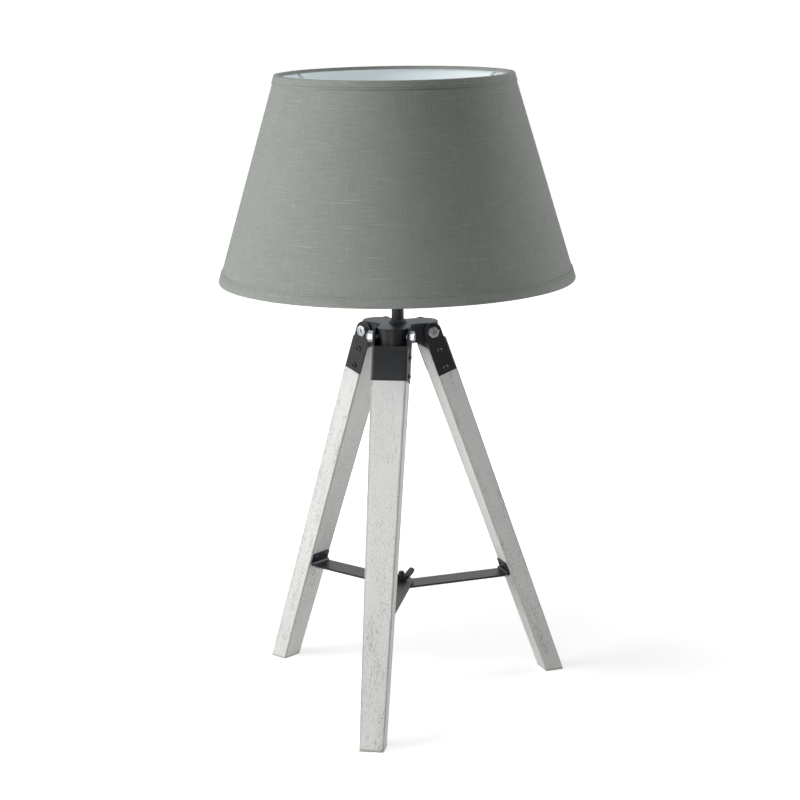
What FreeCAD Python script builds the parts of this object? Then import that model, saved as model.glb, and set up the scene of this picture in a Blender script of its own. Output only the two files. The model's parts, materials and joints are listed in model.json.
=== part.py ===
import FreeCAD, Part
import math
import os
import re

import Sketcher

Vector = FreeCAD.Vector
Rotation = FreeCAD.Rotation
Placement = FreeCAD.Placement
Y_AXIS = Vector(0, 1, 0)
Z_AXIS = Vector(0, 0, 1)

# A tripod table lamp: three splayed wooden legs hinged on a black hub, tied together by a
# bolted spreader, with a stem, a lamp holder and a conical fabric shade. Millimetres.
# +Z is up and the origin is on the floor, on the lamp's axis. The front leg points along -Y.

# ---------------------------------------------------------------- driving sizes

SIZES = [
    # legs and their hinges
    ("hinge_radius", 30, "hinge bolt's distance from the lamp's axis"),
    ("hinge_height", 374, "hinge bolt's height over the floor"),
    ("leg_splay", 19.8, "lean of each leg, degrees"),
    ("leg_top_depth", 21, "leg at its bracket, across the radius"),
    ("leg_foot_depth", 18.4, "leg at its foot, across the radius"),
    ("leg_top_width", 35.4, "leg just under its bracket, tangentially"),
    ("leg_foot_width", 23.6, "leg at its foot, tangentially"),
    ("leg_top_drop", 15.2, "leg's end under the hinge bolt"),
    ("leg_edge_round", 1.3, "rounding of the leg's long edges"),
    # hub
    ("hub_rise", 9, "hub's top face over the hinge bolts"),
    ("hub_thickness", 19, "hub, top to bottom"),
    ("finger_reach", 41.5, "tip of a hub finger from the axis"),
    ("web_round", 9, "rounding of the notch between two fingers"),
    ("hub_edge", 0.8, "chamfer of the hub's top edge"),
    # brackets
    ("bracket_width", 36, "bracket over its two ears"),
    ("bracket_length", 45, "bracket's lower end under the hinge bolt"),
    ("bracket_plate_top", 11, "outer plate's upper end under the hinge bolt"),
    ("bracket_sheet", 2, "bracket's sheet thickness"),
    ("bend_radius", 2.4, "outside of the bracket's two bends"),
    ("finger_gap", 0.3, "play between an ear and the hub's finger"),
    # hinge bolts
    ("bolt_radius", 3, "M6 bolts of hinges and spreader"),
    ("bolt_play", 0.2, "bolt to plain hole"),
    ("hinge_play", 0.08, "hinge bolt to its bore in the hub"),
    ("hex_across_flats", 10, "M6 head and nut"),
    ("hex_head_height", 4, "M6 head"),
    ("nut_height", 5.2, "M6 nut"),
    ("washer_radius", 6, "M6 washer"),
    ("washer_thickness", 1.2, "M6 washer"),
    ("bolt_end", 1.6, "bolt's end past its nut"),
    ("thread_play", 0.1, "threaded piece to its nut, threads left out"),
    # bracket screws
    ("screw_head_radius", 3, "bracket screw"),
    ("screw_head_height", 1.8, "bracket screw"),
    ("screw_radius", 1.5, "bracket screw"),
    ("screw_length", 14, "bracket screw under its head"),
    ("screw_drop", 20, "upper bracket screw under the hinge bolt"),
    ("screw_pitch", 18.8, "from one bracket screw to the next"),
    ("screw_play", 0.1, "screws to their holes"),
    # spreader
    ("spreader_level", 110, "underside of the lowest bar over the floor"),
    ("bar_width", 24, "spreader bar"),
    ("bar_thickness", 2, "spreader bar"),
    ("barrel_radius", 2.3, "leaf hinge's knuckles"),
    ("knuckle_width", 11, "bar's own knuckle"),
    ("knuckle_gap", 0.3, "play beside the knuckles"),
    ("pin_radius", 1.2, "leaf hinge's pin"),
    ("pin_play", 0.05, "pin to its knuckles"),
    ("leaf_height", 11.5, "hinge leaf on the leg"),
    ("leaf_thickness", 1.5, "hinge leaf on the leg"),
    ("leaf_screw_spread", 14, "between the leaf's two screws"),
    ("leaf_screw_rise", 7, "leaf's screws over the hinge pin"),
    ("leaf_screw_length", 11, "leaf's screws under their heads"),
    ("leaf_screw_head_radius", 2.4, "leaf's screws"),
    ("leaf_screw_head_height", 1.1, "leaf's screws"),
    ("leaf_screw_radius", 1.2, "leaf's screws"),
    ("spreader_bolt_end", 3, "centre bolt's end over the wing nut"),
    ("wing_nut_radius", 5.3, "wing nut's base"),
    ("wing_nut_height", 5, "wing nut's base"),
    ("wing_width", 10, "each wing"),
    ("wing_length", 13, "each wing, from the nut's axis side"),
    ("wing_thickness", 1.6, "each wing"),
    ("wing_lean", 45, "each wing over level, degrees"),
    ("wing_azimuth", 35, "where the nut's wings point, degrees"),
    # stem
    ("stem_radius", 6, "outside of the stem tube"),
    ("stem_wall", 0.8, "stem tube"),
    ("stem_length", 72, "from the hub to the lamp holder"),
    ("collar_radius", 8.7, "stem's collar"),
    ("collar_height", 3.4, "stem's collar"),
    ("stem_play", 0.1, "stem tube to its collar"),
    ("tie_rod_radius", 5, "hollow M10 tie rod"),
    ("tie_rod_bore", 3.5, "way for the cord"),
    ("tie_rod_entry", 8, "tie rod into the lamp holder's cap"),
    ("lock_washer_radius", 11, "washer under the hub"),
    ("lock_nut_across_flats", 14, "nut under the hub"),
    ("lock_nut_height", 3.5, "nut under the hub"),
    ("tie_rod_end", 2, "tie rod past its nut"),
    ("bush_flange", 5, "cord bush's lip, radius"),
    ("bush_lip", 1.2, "cord bush's lip, height"),
    ("bush_depth", 8, "cord bush in the tie rod"),
    ("bush_bore", 2.6, "cord bush's bore, radius"),
    # lamp holder
    ("cap_radius", 18.5, "lamp holder's cap"),
    ("cap_height", 20, "lamp holder's cap"),
    ("cap_wall", 1.8, "lamp holder's cap"),
    ("cap_floor", 3, "lamp holder's cap"),
    ("sleeve_radius", 20, "over the sleeve's outer thread"),
    ("sleeve_height", 36, "lamp holder's sleeve"),
    ("shoulder_radius", 23, "rim that the shade's ring rests on"),
    ("shoulder_rise", 18, "rim's top over the sleeve's lower end"),
    ("shoulder_height", 3, "rim"),
    ("socket_radius", 13.4, "lamp socket's bore"),
    ("insert_height", 7, "contact carrier"),
    ("contact_room", 3, "contact carrier under the sleeve"),
    ("insert_play", 0.2, "contact carrier in the cap"),
    ("contact_thickness", 0.6, "contact springs"),
    ("contact_width", 4, "contact springs"),
    ("side_contact_offset", 10, "side spring from the axis"),
    # shade
    ("shade_hang", 65, "shade's lower edge under its fitter ring"),
    ("shade_height", 199, "shade"),
    ("shade_bottom_radius", 175, "fabric's lower edge"),
    ("shade_top_radius", 116, "fabric's upper edge"),
    ("fabric_thickness", 0.8, "shade's fabric, level"),
    ("liner_thickness", 0.8, "shade's liner, level"),
    ("tape_thickness", 0.5, "hem tapes"),
    ("bottom_tape_height", 10, "lower hem tape"),
    ("top_tape_height", 7, "upper hem tape"),
    ("shade_wire_radius", 1.6, "shade's wire rings"),
    ("wire_gap", 0.1, "wire ring to the liner"),
    ("fitter_plate", 2, "fitter ring's thickness"),
    ("fitter_radius", 31, "outside of the fitter ring"),
    ("fitter_play", 1, "fitter ring to the sleeve's thread"),
    ("fitter_arm_radius", 1.8, "arms of the shade's frame"),
    ("fitter_azimuth", 38, "where the first arm points, degrees"),
    ("shade_ring_radius", 26, "screwed ring on top of the fitter ring"),
    ("shade_ring_play", 0.4, "screwed ring to the sleeve, threads left out"),
    ("shade_ring_height", 7, "screwed ring"),
    ("shade_ring_bevel", 2, "screwed ring's bevelled rim"),
    ("ring_play", 0.3, "screwed ring over the fitter ring"),
    ("pocket_reach", 60, "how far open cuts run past the solid"),
]

DERIVED = [
    ("leg_inner", "leg_top_depth / 2 - bend_radius / 2", "ear's radius round the hinge bolt"),
    ("leg_outer", "leg_inner + bend_radius", "leg's outer face from the hinge bolt"),
    ("bracket_inner", "leg_outer - bracket_sheet", "back of the outer plate"),
    ("tenon_half", "bracket_width / 2 - bracket_sheet", "half the leg's width in its bracket"),
    ("finger_half", "tenon_half - finger_gap", "half a hub finger's width"),
    ("finger_centre", "finger_reach - finger_half", "middle of the finger's round tip"),
    ("hub_top", "hinge_height + hub_rise", "hub's top face over the floor"),
    ("hub_bottom", "hub_top - hub_thickness", "hub's underside"),
    ("foot_centre", "(leg_outer - leg_inner) / 2", "foot's middle from the hinge's axis"),
    ("foot_outer", "foot_centre + leg_foot_depth / 2", "foot's outer face"),
    ("foot_inner", "foot_centre - leg_foot_depth / 2", "foot's inner face"),
    ("foot_outer_drop", "(hinge_height + foot_outer * sin(leg_splay * 1 deg)) / cos(leg_splay * 1 deg)",
     "outer foot corner under the hinge bolt"),
    ("foot_inner_drop", "(hinge_height + foot_inner * sin(leg_splay * 1 deg)) / cos(leg_splay * 1 deg)",
     "inner foot corner under the hinge bolt"),
    ("side_slope", "(leg_top_width - leg_foot_width) / 2 / (foot_outer_drop - bracket_length)",
     "taper of each side face"),
    ("inner_slope", "(leg_inner + foot_inner) / (foot_inner_drop - leg_top_drop)",
     "taper of the inner face"),
    ("stack_top", "spreader_level + 3 * bar_thickness", "top of the three bars"),
    ("wing_nut_seat", "stack_top + washer_thickness", "underside of the wing nut"),
    ("sleeve_bottom", "hub_top + stem_length + cap_height", "joint of cap and sleeve"),
    ("fitter_level", "sleeve_bottom + shoulder_rise", "underside of the fitter ring"),
    ("shade_bottom", "fitter_level - shade_hang", "shade's lower edge over the floor"),
    ("shade_top", "shade_bottom + shade_height", "shade's upper edge"),
    ("shade_slope", "(shade_bottom_radius - shade_top_radius) / shade_height", "shade's taper"),
]

LEGS = {"front": -90, "left": 150, "right": 30}
BOLT_SIDE = {"front": 1, "left": 1, "right": -1}
BAR_LEVEL = {"front": 2, "left": 1, "right": 0}

doc = FreeCAD.newDocument("TripodTableLamp")
sheet = doc.addObject("Spreadsheet::Sheet", "Sizes")
for row, (name, value, note) in enumerate(SIZES, 1):
    sheet.set("A%d" % row, note)
    sheet.set("B%d" % row, str(value))
    sheet.setAlias("B%d" % row, name)
for row, (name, formula, note) in enumerate(DERIVED, len(SIZES) + 2):
    sheet.set("A%d" % row, note)
    sheet.set("B%d" % row, "=" + formula)
    sheet.setAlias("B%d" % row, name)
doc.recompute()

ALIASES = [entry[0] for entry in SIZES + DERIVED]
NODES = []


def size(name):
    """The value of one cell."""
    return float(sheet.get(name))


def named(expression):
    """The expression with each size's name pointing at the sheet."""
    return re.sub(r"[a-z_]+", lambda word: "Sizes." + word.group() if word.group() in ALIASES
                  else word.group(), str(expression))


def bind(thing, **properties):
    for prop, expression in properties.items():
        thing.setExpression(prop, named(expression))


def node(thing, label, frame=None):
    """Name a finished piece and put it in its place."""
    thing.Label = label
    if frame is not None:
        thing.Placement = frame
    NODES.append(thing)
    return thing


# ---------------------------------------------------------------- sketches and features

def new_body(name):
    return doc.addObject("PartDesign::Body", name)


def new_sketch(body, plane):
    sketch = body.newObject("Sketcher::SketchObject", body.Name + "Sketch")
    for feature in body.Origin.OriginFeatures:
        if feature.Role == plane + "_Plane":
            sketch.AttachmentSupport = [(feature, "")]
    sketch.MapMode = "FlatFace"
    return sketch


def add_outline(sketch, points):
    """A closed outline of straight lines through points given as pairs of expressions."""
    count = len(points)
    first = sketch.GeometryCount
    rough = [Vector(10 * math.cos(2 * math.pi * i / count), 10 * math.sin(2 * math.pi * i / count), 0)
             for i in range(count)]
    for i in range(count):
        sketch.addGeometry(Part.LineSegment(rough[i], rough[(i + 1) % count]), False)
    for i in range(count):
        following = first + (i + 1) % count
        sketch.addConstraint(Sketcher.Constraint("Coincident", first + i, 2, following, 1))
    for i, (across, along) in enumerate(points):
        for kind, start, expression in (("DistanceX", rough[i].x, across), ("DistanceY", rough[i].y, along)):
            index = sketch.addConstraint(Sketcher.Constraint(kind, first + i, 1, start))
            sketch.setExpression("Constraints[%d]" % index, named(expression))


def add_circle(sketch, across, along, radius):
    index = sketch.addGeometry(Part.Circle(Vector(5, 5, 0), Z_AXIS, 2), False)
    for kind, start, expression in (("DistanceX", 5, across), ("DistanceY", 5, along)):
        constraint = sketch.addConstraint(Sketcher.Constraint(kind, index, 3, start))
        sketch.setExpression("Constraints[%d]" % constraint, named(expression))
    constraint = sketch.addConstraint(Sketcher.Constraint("Radius", index, 2.0))
    sketch.setExpression("Constraints[%d]" % constraint, named(radius))


def pad(body, sketch, length, both_ways=False):
    feature = body.newObject("PartDesign::Pad", body.Name + "Pad")
    feature.Profile = sketch
    feature.Midplane = both_ways
    feature.setExpression("Length", named(length))
    doc.recompute()
    return feature


def pocket(body, sketch, length, both_ways=True, backwards=False):
    """Cut the sketch out of the body, and stop if nothing was cut."""
    before = body.Shape.Volume
    feature = body.newObject("PartDesign::Pocket", body.Name + "Pocket")
    feature.Profile = sketch
    feature.Midplane = both_ways
    feature.Reversed = backwards
    feature.setExpression("Length", named(length))
    doc.recompute()
    if not body.Shape.Volume < before:
        raise RuntimeError("a pocket of %s cuts nothing" % body.Name)
    return feature


def revolve(body, sketch):
    feature = body.newObject("PartDesign::Revolution", body.Name + "Revolution")
    feature.Profile = sketch
    feature.ReferenceAxis = (sketch, ["V_Axis"])
    feature.Angle = 360
    doc.recompute()
    return feature


def three_times(body, features):
    pattern = body.newObject("PartDesign::PolarPattern", body.Name + "Pattern")
    pattern.Originals = features
    axes = [feature for feature in body.Origin.OriginFeatures if feature.Role == "Z_Axis"]
    pattern.Axis = (axes[0], [""])
    pattern.Angle = 360
    pattern.Occurrences = 3
    body.Tip = pattern
    doc.recompute()
    return pattern


def dress(body, kind, edges, prop, expression):
    """Fillet or chamfer the tip's edges that the test in edges picks."""
    base = body.Tip
    picked = ["Edge%d" % (i + 1) for i, edge in enumerate(base.Shape.Edges) if edges(edge)]
    feature = body.newObject("PartDesign::" + kind, body.Name + kind)
    feature.Base = (base, picked)
    feature.setExpression(prop, named(expression))
    doc.recompute()
    return feature


def turned_piece(name, section):
    """A piece turned round Z from its half section in radius and height."""
    body = new_body(name)
    sketch = new_sketch(body, "XZ")
    add_outline(sketch, section)
    revolve(body, sketch)
    return body


# ---------------------------------------------------------------- plain solids

def box(x, y, z, length, width, height):
    """A box from its low corner and its three sizes."""
    block = doc.addObject("Part::Box", "Block")
    bind(block, **{"Length": length, "Width": width, "Height": height, "Placement.Base.x": x,
                   "Placement.Base.y": y, "Placement.Base.z": z})
    return block


def rod(radius, length, x="0", y="0", z="0", turn=None):
    """A cylinder from the centre of its lower end; turn points its axis elsewhere than up."""
    cylinder = doc.addObject("Part::Cylinder", "Rod")
    if turn is not None:
        cylinder.Placement = Placement(Vector(), turn)
    bind(cylinder, **{"Radius": radius, "Height": length, "Placement.Base.x": x,
                      "Placement.Base.y": y, "Placement.Base.z": z})
    return cylinder


def stud(radius, length, x="0", y="0", z="0", turn=None):
    """A small round piece or hole, drawn with twelve sides."""
    prism = doc.addObject("Part::Prism", "Stud")
    prism.Polygon = 12
    if turn is not None:
        prism.Placement = Placement(Vector(), turn)
    bind(prism, **{"Circumradius": radius, "Height": length, "Placement.Base.x": x,
                   "Placement.Base.y": y, "Placement.Base.z": z})
    return prism


def hexagon(across_flats, height, z="0"):
    prism = doc.addObject("Part::Prism", "Hexagon")
    prism.Polygon = 6
    bind(prism, **{"Circumradius": "(%s) / 2 / cos(30 deg)" % across_flats, "Height": height,
                   "Placement.Base.z": z})
    return prism


def fuse(*shapes):
    joined = doc.addObject("Part::MultiFuse", "Joined")
    joined.Shapes = list(shapes)
    return joined


def cut(base, *tools):
    remaining = doc.addObject("Part::Cut", "Remaining")
    remaining.Base = base
    remaining.Tool = tools[0] if len(tools) == 1 else fuse(*tools)
    return remaining


def group(*shapes):
    together = doc.addObject("Part::Compound", "Together")
    together.Links = list(shapes)
    return together


ALONG_Y = Rotation(Vector(1, 0, 0), -90)
ALONG_X = Rotation(Y_AXIS, 90)


# ---------------------------------------------------------------- places

def turned(azimuth):
    return Placement(Vector(), Rotation(Z_AXIS, azimuth))


def raised(height):
    return Placement(Vector(0, 0, height), Rotation())


def hinge_frame(azimuth):
    """At the hinge bolt: Z up along the leg, X out through its outer face, Y along the bolt."""
    lean = Placement(Vector(size("hinge_radius"), 0, size("hinge_height")), Rotation(Y_AXIS, -size("leg_splay")))
    return turned(azimuth) * lean


def barrel_place(level):
    """Leaf hinge's pin for the bar of this level: its radius from the axis, height and lean."""
    splay = math.radians(size("leg_splay"))
    taper = math.atan(size("inner_slope"))
    height = size("spreader_level") + level * size("bar_thickness") + size("barrel_radius")
    # the inner face passes this point of the hinge frame and runs down with the leg's taper
    start = Vector(-size("leg_inner"), 0, -size("leg_top_drop"))
    across = start.x - size("barrel_radius") / math.cos(taper)
    slope = size("inner_slope")
    drop = ((size("hinge_height") - height + across * math.sin(splay)
             + slope * start.z * math.sin(splay))
            / (math.cos(splay) - slope * math.sin(splay)))
    inward = across + slope * (drop + start.z)
    radius = size("hinge_radius") + drop * math.sin(splay) + inward * math.cos(splay)
    return radius, height, math.degrees(splay + taper)


def face_frame(azimuth, level):
    """At the leaf hinge's pin: Z up along the leg's inner face, X into the leg."""
    radius, height, lean = barrel_place(level)
    return turned(azimuth) * Placement(Vector(radius, 0, height), Rotation(Y_AXIS, -lean))


# ---------------------------------------------------------------- hub and stem

def make_hub():
    """Three round-tipped fingers with filleted notches, bored for the stem and the hinges."""
    body = new_body("Hub")
    outline = new_sketch(body, "XY")
    add_outline(outline, [("0", "-finger_half"), ("finger_centre", "-finger_half"),
                          ("finger_centre", "finger_half"), ("0", "finger_half")])
    finger = pad(body, outline, "hub_thickness")
    tip = new_sketch(body, "XY")
    add_circle(tip, "finger_centre", "0", "finger_half")
    end = pad(body, tip, "hub_thickness")
    three_times(body, [finger, end])

    notch = size("finger_half") / math.sin(math.radians(60))

    def in_notch(edge):
        ends = [vertex.Point for vertex in edge.Vertexes]
        upright = len(ends) == 2 and abs(ends[0].z - ends[1].z) > size("hub_thickness") / 2
        return upright and all(abs(math.hypot(end.x, end.y) - notch) < 0.01 for end in ends)

    dress(body, "Fillet", in_notch, "Radius", "web_round")
    top = size("hub_thickness")

    def on_top(edge):
        return all(abs(vertex.Point.z - top) < 0.001 for vertex in edge.Vertexes)

    dress(body, "Chamfer", on_top, "Size", "hub_edge")
    middle = new_sketch(body, "XY")
    add_circle(middle, "0", "0", "tie_rod_radius + stem_play")
    pocket(body, middle, "2 * hub_thickness + pocket_reach")
    hinge = new_sketch(body, "XZ")
    add_circle(hinge, "hinge_radius", "hinge_height - hub_bottom", "bolt_radius + hinge_play")
    bore = pocket(body, hinge, "4 * finger_half")
    three_times(body, [bore])
    node(body, "hub", turned(LEGS["front"]) * raised(size("hub_bottom")))


def make_stem():
    tube = cut(rod("stem_radius", "stem_length"), rod("stem_radius - stem_wall", "stem_length"))
    node(tube, "stem_tube", raised(size("hub_top")))
    collar = turned_piece("Collar", [
        ("stem_radius + stem_play", "0"), ("collar_radius", "0"), ("collar_radius", "collar_height / 3"),
        ("stem_radius + stem_wall", "collar_height"), ("stem_radius + stem_play", "collar_height")])
    node(collar, "stem_collar", raised(size("hub_top")))
    below = size("washer_thickness") + size("lock_nut_height") + size("tie_rod_end")
    through = "washer_thickness + lock_nut_height + tie_rod_end + hub_thickness + stem_length + tie_rod_entry"
    tie_rod = cut(rod("tie_rod_radius", through), rod("tie_rod_bore", through))
    node(tie_rod, "stem_tie_rod", raised(size("hub_bottom") - below))
    washer = cut(rod("lock_washer_radius", "washer_thickness"),
                 rod("tie_rod_radius + thread_play", "washer_thickness"))
    node(washer, "hub_washer", raised(size("hub_bottom") - size("washer_thickness")))
    nut = cut(hexagon("lock_nut_across_flats", "lock_nut_height"),
              rod("tie_rod_radius + thread_play", "lock_nut_height"))
    node(nut, "hub_lock_nut", raised(size("hub_bottom") - size("washer_thickness") - size("lock_nut_height")))
    bush = cut(fuse(rod("bush_flange", "bush_lip"),
                    rod("tie_rod_bore - thread_play", "bush_depth", z="bush_lip")),
               rod("bush_bore", "bush_lip + bush_depth"))
    node(bush, "cord_bush", raised(size("hub_bottom") - below - size("bush_lip")))


# ---------------------------------------------------------------- legs

def bracket_screw_places(name):
    """Frames of a bracket's two screws: at the ear's outer face, Z out of it."""
    side = BOLT_SIDE[name]
    outward = Rotation(Vector(1, 0, 0), -90 * side)
    for count in range(2):
        drop = size("screw_drop") + count * size("screw_pitch")
        at = Vector(0, side * size("bracket_width") / 2, -drop)
        yield hinge_frame(LEGS[name]) * Placement(at, outward)


def leaf_screw_places(name):
    """Frames of a hinge leaf's two screws: at the leaf's inner face, Z out of it."""
    surface = size("barrel_radius") - size("leaf_thickness")
    for side in (-1, 1):
        at = Vector(surface, side * size("leaf_screw_spread") / 2, size("leaf_screw_rise"))
        yield face_frame(LEGS[name], BAR_LEVEL[name]) * Placement(at, Rotation(Y_AXIS, -90))


def drill(frame, radius, length):
    hole = stud(radius, length, z="-(%s)" % length)
    deep = group(hole)
    deep.Placement = frame
    return deep


def make_leg(name):
    """A tapered leg: cut level at the foot, with a tenon let into its bracket."""
    body = new_body("Leg")
    side = new_sketch(body, "XZ")
    add_outline(side, [
        ("-leg_inner", "-leg_top_drop"), ("bracket_inner", "-leg_top_drop"),
        ("bracket_inner", "-bracket_length"), ("leg_outer", "-bracket_length"),
        ("foot_outer", "-foot_outer_drop"), ("foot_inner", "-foot_inner_drop")])
    pad(body, side, "leg_top_width + bracket_width", both_ways=True)
    for sign in ("", "-"):
        front = new_sketch(body, "YZ")
        reach = sign + "(leg_top_width + bracket_width)"
        add_outline(front, [
            (sign + "(leg_foot_width / 2 - side_slope * pocket_reach)", "-foot_outer_drop - pocket_reach"),
            (sign + "(leg_top_width / 2)", "-bracket_length"), (sign + "tenon_half", "-bracket_length"),
            (sign + "tenon_half", "0"), (reach, "0"), (reach, "-foot_outer_drop - pocket_reach")])
        pocket(body, front, "4 * pocket_reach")
    longest = size("foot_inner_drop") - size("bracket_length") - size("leg_top_depth")

    def long_edge(edge):
        return edge.Length > longest

    dress(body, "Fillet", long_edge, "Radius", "leg_edge_round")
    body.Placement = hinge_frame(LEGS[name])
    holes = [drill(frame, "screw_radius + screw_play", "screw_length + screw_play")
             for frame in bracket_screw_places(name)]
    holes += [drill(frame, "leaf_screw_radius + screw_play", "leaf_screw_length + screw_play")
              for frame in leaf_screw_places(name)]
    node(cut(body, *holes), "leg_" + name)


def make_bracket(name):
    """A U of bent sheet: its outer plate covers the leg, its ears reach up round the hinge bolt."""
    body = new_body("Bracket")
    side = new_sketch(body, "XZ")
    add_outline(side, [
        ("-leg_inner", "-bracket_length"), ("leg_outer", "-bracket_length"),
        ("leg_outer", "-bracket_plate_top"), ("leg_inner", "-bracket_plate_top"),
        ("leg_inner", "0"), ("-leg_inner", "0")])
    pad(body, side, "bracket_width", both_ways=True)
    outer = size("leg_outer")

    def bend(edge):
        upright = edge.Length > (size("bracket_length") - size("bracket_plate_top")) * 0.9
        return upright and all(abs(vertex.Point.x - outer) < 0.001 for vertex in edge.Vertexes) \
            and abs(edge.Vertexes[0].Point.y - edge.Vertexes[-1].Point.y) < 0.001

    dress(body, "Fillet", bend, "Radius", "bend_radius")
    ear = new_sketch(body, "XZ")
    add_circle(ear, "0", "0", "leg_inner")
    pad(body, ear, "bracket_width", both_ways=True)
    inside = new_sketch(body, "XY")
    add_outline(inside, [("-leg_inner - pocket_reach", "-tenon_half"), ("bracket_inner", "-tenon_half"),
                         ("bracket_inner", "tenon_half"), ("-leg_inner - pocket_reach", "tenon_half")])
    pocket(body, inside, "4 * pocket_reach")
    hinge = new_sketch(body, "XZ")
    add_circle(hinge, "0", "0", "bolt_radius + bolt_play")
    pocket(body, hinge, "2 * bracket_width")
    screws = new_sketch(body, "XZ")
    add_circle(screws, "0", "-screw_drop", "screw_radius + screw_play")
    add_circle(screws, "0", "-screw_drop - screw_pitch", "screw_radius + screw_play")
    pocket(body, screws, "bracket_width", both_ways=False, backwards=BOLT_SIDE[name] < 0)
    node(body, "leg_bracket_" + name, hinge_frame(LEGS[name]))


def make_hinge_bolt(name):
    """The bolt through both ears and the hub's finger, with its washer and nut."""
    frame = hinge_frame(LEGS[name]) * Placement(Vector(), Rotation(Vector(1, 0, 0), -90 * BOLT_SIDE[name]))
    shank = "bracket_width + washer_thickness + nut_height + bolt_end"
    bolt = fuse(hexagon("hex_across_flats", "hex_head_height", z="bracket_width / 2"),
                stud("bolt_radius", shank, z="bracket_width / 2 - (%s)" % shank))
    node(bolt, "hinge_bolt_" + name, frame)
    washer = cut(rod("washer_radius", "washer_thickness", z="-bracket_width / 2 - washer_thickness"),
                 stud("bolt_radius + bolt_play", "pocket_reach", z="-pocket_reach"))
    node(washer, "hinge_washer_" + name, frame)
    nut_level = "-bracket_width / 2 - washer_thickness - nut_height"
    nut = cut(hexagon("hex_across_flats", "nut_height", z=nut_level),
              stud("bolt_radius + thread_play", "pocket_reach", z="-pocket_reach"))
    node(nut, "hinge_nut_" + name, frame)


def make_bracket_screws(name):
    screws = []
    for frame in bracket_screw_places(name):
        screw = fuse(stud("screw_head_radius", "screw_head_height"),
                     stud("screw_radius", "screw_length", z="-screw_length"))
        screw.Placement = frame
        screws.append(screw)
    node(group(*screws), "bracket_screws_" + name)


# ---------------------------------------------------------------- spreader

def make_spreader_arm(name):
    """A flat bar from the centre bolt to its leaf hinge, with its own knuckle at the end."""
    radius, height, lean = barrel_place(BAR_LEVEL[name])
    body = new_body("Arm")
    outline = new_sketch(body, "XY")
    shoulder = radius - size("barrel_radius") - size("knuckle_gap")
    at_pin = "%.6f" % radius
    at_shoulder = "%.6f" % shoulder
    add_outline(outline, [
        ("0", "-bar_width / 2"), (at_shoulder, "-bar_width / 2"),
        (at_shoulder, "-knuckle_width / 2"), (at_pin, "-knuckle_width / 2"),
        (at_pin, "knuckle_width / 2"), (at_shoulder, "knuckle_width / 2"),
        (at_shoulder, "bar_width / 2"), ("0", "bar_width / 2")])
    pad(body, outline, "bar_thickness")
    end = new_sketch(body, "XY")
    add_circle(end, "0", "0", "bar_width / 2")
    pad(body, end, "bar_thickness")
    barrel = new_sketch(body, "XZ")
    add_circle(barrel, at_pin, "barrel_radius", "barrel_radius")
    pad(body, barrel, "knuckle_width", both_ways=True)
    bore = new_sketch(body, "XZ")
    add_circle(bore, at_pin, "barrel_radius", "pin_radius + pin_play")
    pocket(body, bore, "2 * bar_width")
    hole = new_sketch(body, "XY")
    add_circle(hole, "0", "0", "bolt_radius + bolt_play")
    pocket(body, hole, "4 * bar_thickness + pocket_reach")
    level = size("spreader_level") + BAR_LEVEL[name] * size("bar_thickness")
    node(body, "spreader_arm_" + name, turned(LEGS[name]) * raised(level))


def make_hinge_leaf(name):
    """The leaf screwed to the leg's inner face, its knuckles either side of the bar's."""
    frame = face_frame(LEGS[name], BAR_LEVEL[name])
    plate = box("barrel_radius - leaf_thickness", "-bar_width / 2", "0",
                "leaf_thickness", "bar_width", "leaf_height")
    side = "(bar_width - knuckle_width) / 2 - knuckle_gap"
    knuckles = [stud("barrel_radius", side, y="-bar_width / 2", turn=ALONG_Y),
                stud("barrel_radius", side, y="knuckle_width / 2 + knuckle_gap", turn=ALONG_Y)]
    notch = box("-barrel_radius", "-knuckle_width / 2 - knuckle_gap", "-barrel_radius",
                "4 * barrel_radius", "knuckle_width + 2 * knuckle_gap", "2 * barrel_radius + knuckle_gap")
    bore = stud("pin_radius + pin_play", "2 * bar_width", y="-bar_width", turn=ALONG_Y)
    holes = [stud("leaf_screw_radius + screw_play", "4 * barrel_radius", x="-barrel_radius",
                 y="%s leaf_screw_spread / 2" % sign, z="leaf_screw_rise", turn=ALONG_X)
             for sign in ("-", "1 *")]
    leaf = cut(fuse(plate, *knuckles), notch, bore, *holes)
    node(leaf, "spreader_leaf_" + name, frame)
    pin = stud("pin_radius", "bar_width", y="-bar_width / 2", turn=ALONG_Y)
    node(group(pin), "spreader_pin_" + name, frame)
    screws = []
    for place in leaf_screw_places(name):
        screw = fuse(stud("leaf_screw_head_radius", "leaf_screw_head_height"),
                     stud("leaf_screw_radius", "leaf_screw_length", z="-leaf_screw_length"))
        screw.Placement = place
        screws.append(screw)
    node(group(*screws), "leaf_screws_" + name)


def make_spreader_fastener():
    """Bolt from below through the three bars, washer, and a pressed wing nut on top."""
    shank = "3 * bar_thickness + washer_thickness + wing_nut_height + spreader_bolt_end"
    bolt = fuse(hexagon("hex_across_flats", "hex_head_height", z="-hex_head_height"),
                stud("bolt_radius", shank))
    node(bolt, "spreader_bolt", raised(size("spreader_level")))
    washer = cut(rod("washer_radius", "washer_thickness"), stud("bolt_radius + bolt_play", "washer_thickness"))
    node(washer, "spreader_washer", raised(size("stack_top")))
    base = doc.addObject("Part::Cone", "Base")
    bind(base, Radius1="wing_nut_radius", Radius2="wing_nut_radius - wing_thickness / 2", Height="wing_nut_height")
    wings = []
    for turn in (0, 180):
        wing = group(box("0", "-wing_width / 2", "0", "wing_length", "wing_width", "wing_thickness"))
        start = Vector(size("bolt_radius") + size("thread_play"), 0, size("wing_thickness"))
        wing.Placement = turned(turn) * Placement(start, Rotation(Y_AXIS, -size("wing_lean")))
        wings.append(wing)
    nut = cut(fuse(base, *wings), rod("bolt_radius + thread_play", "pocket_reach"))
    node(nut, "wing_nut", turned(size("wing_azimuth")) * raised(size("wing_nut_seat")))


# ---------------------------------------------------------------- lamp holder

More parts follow.
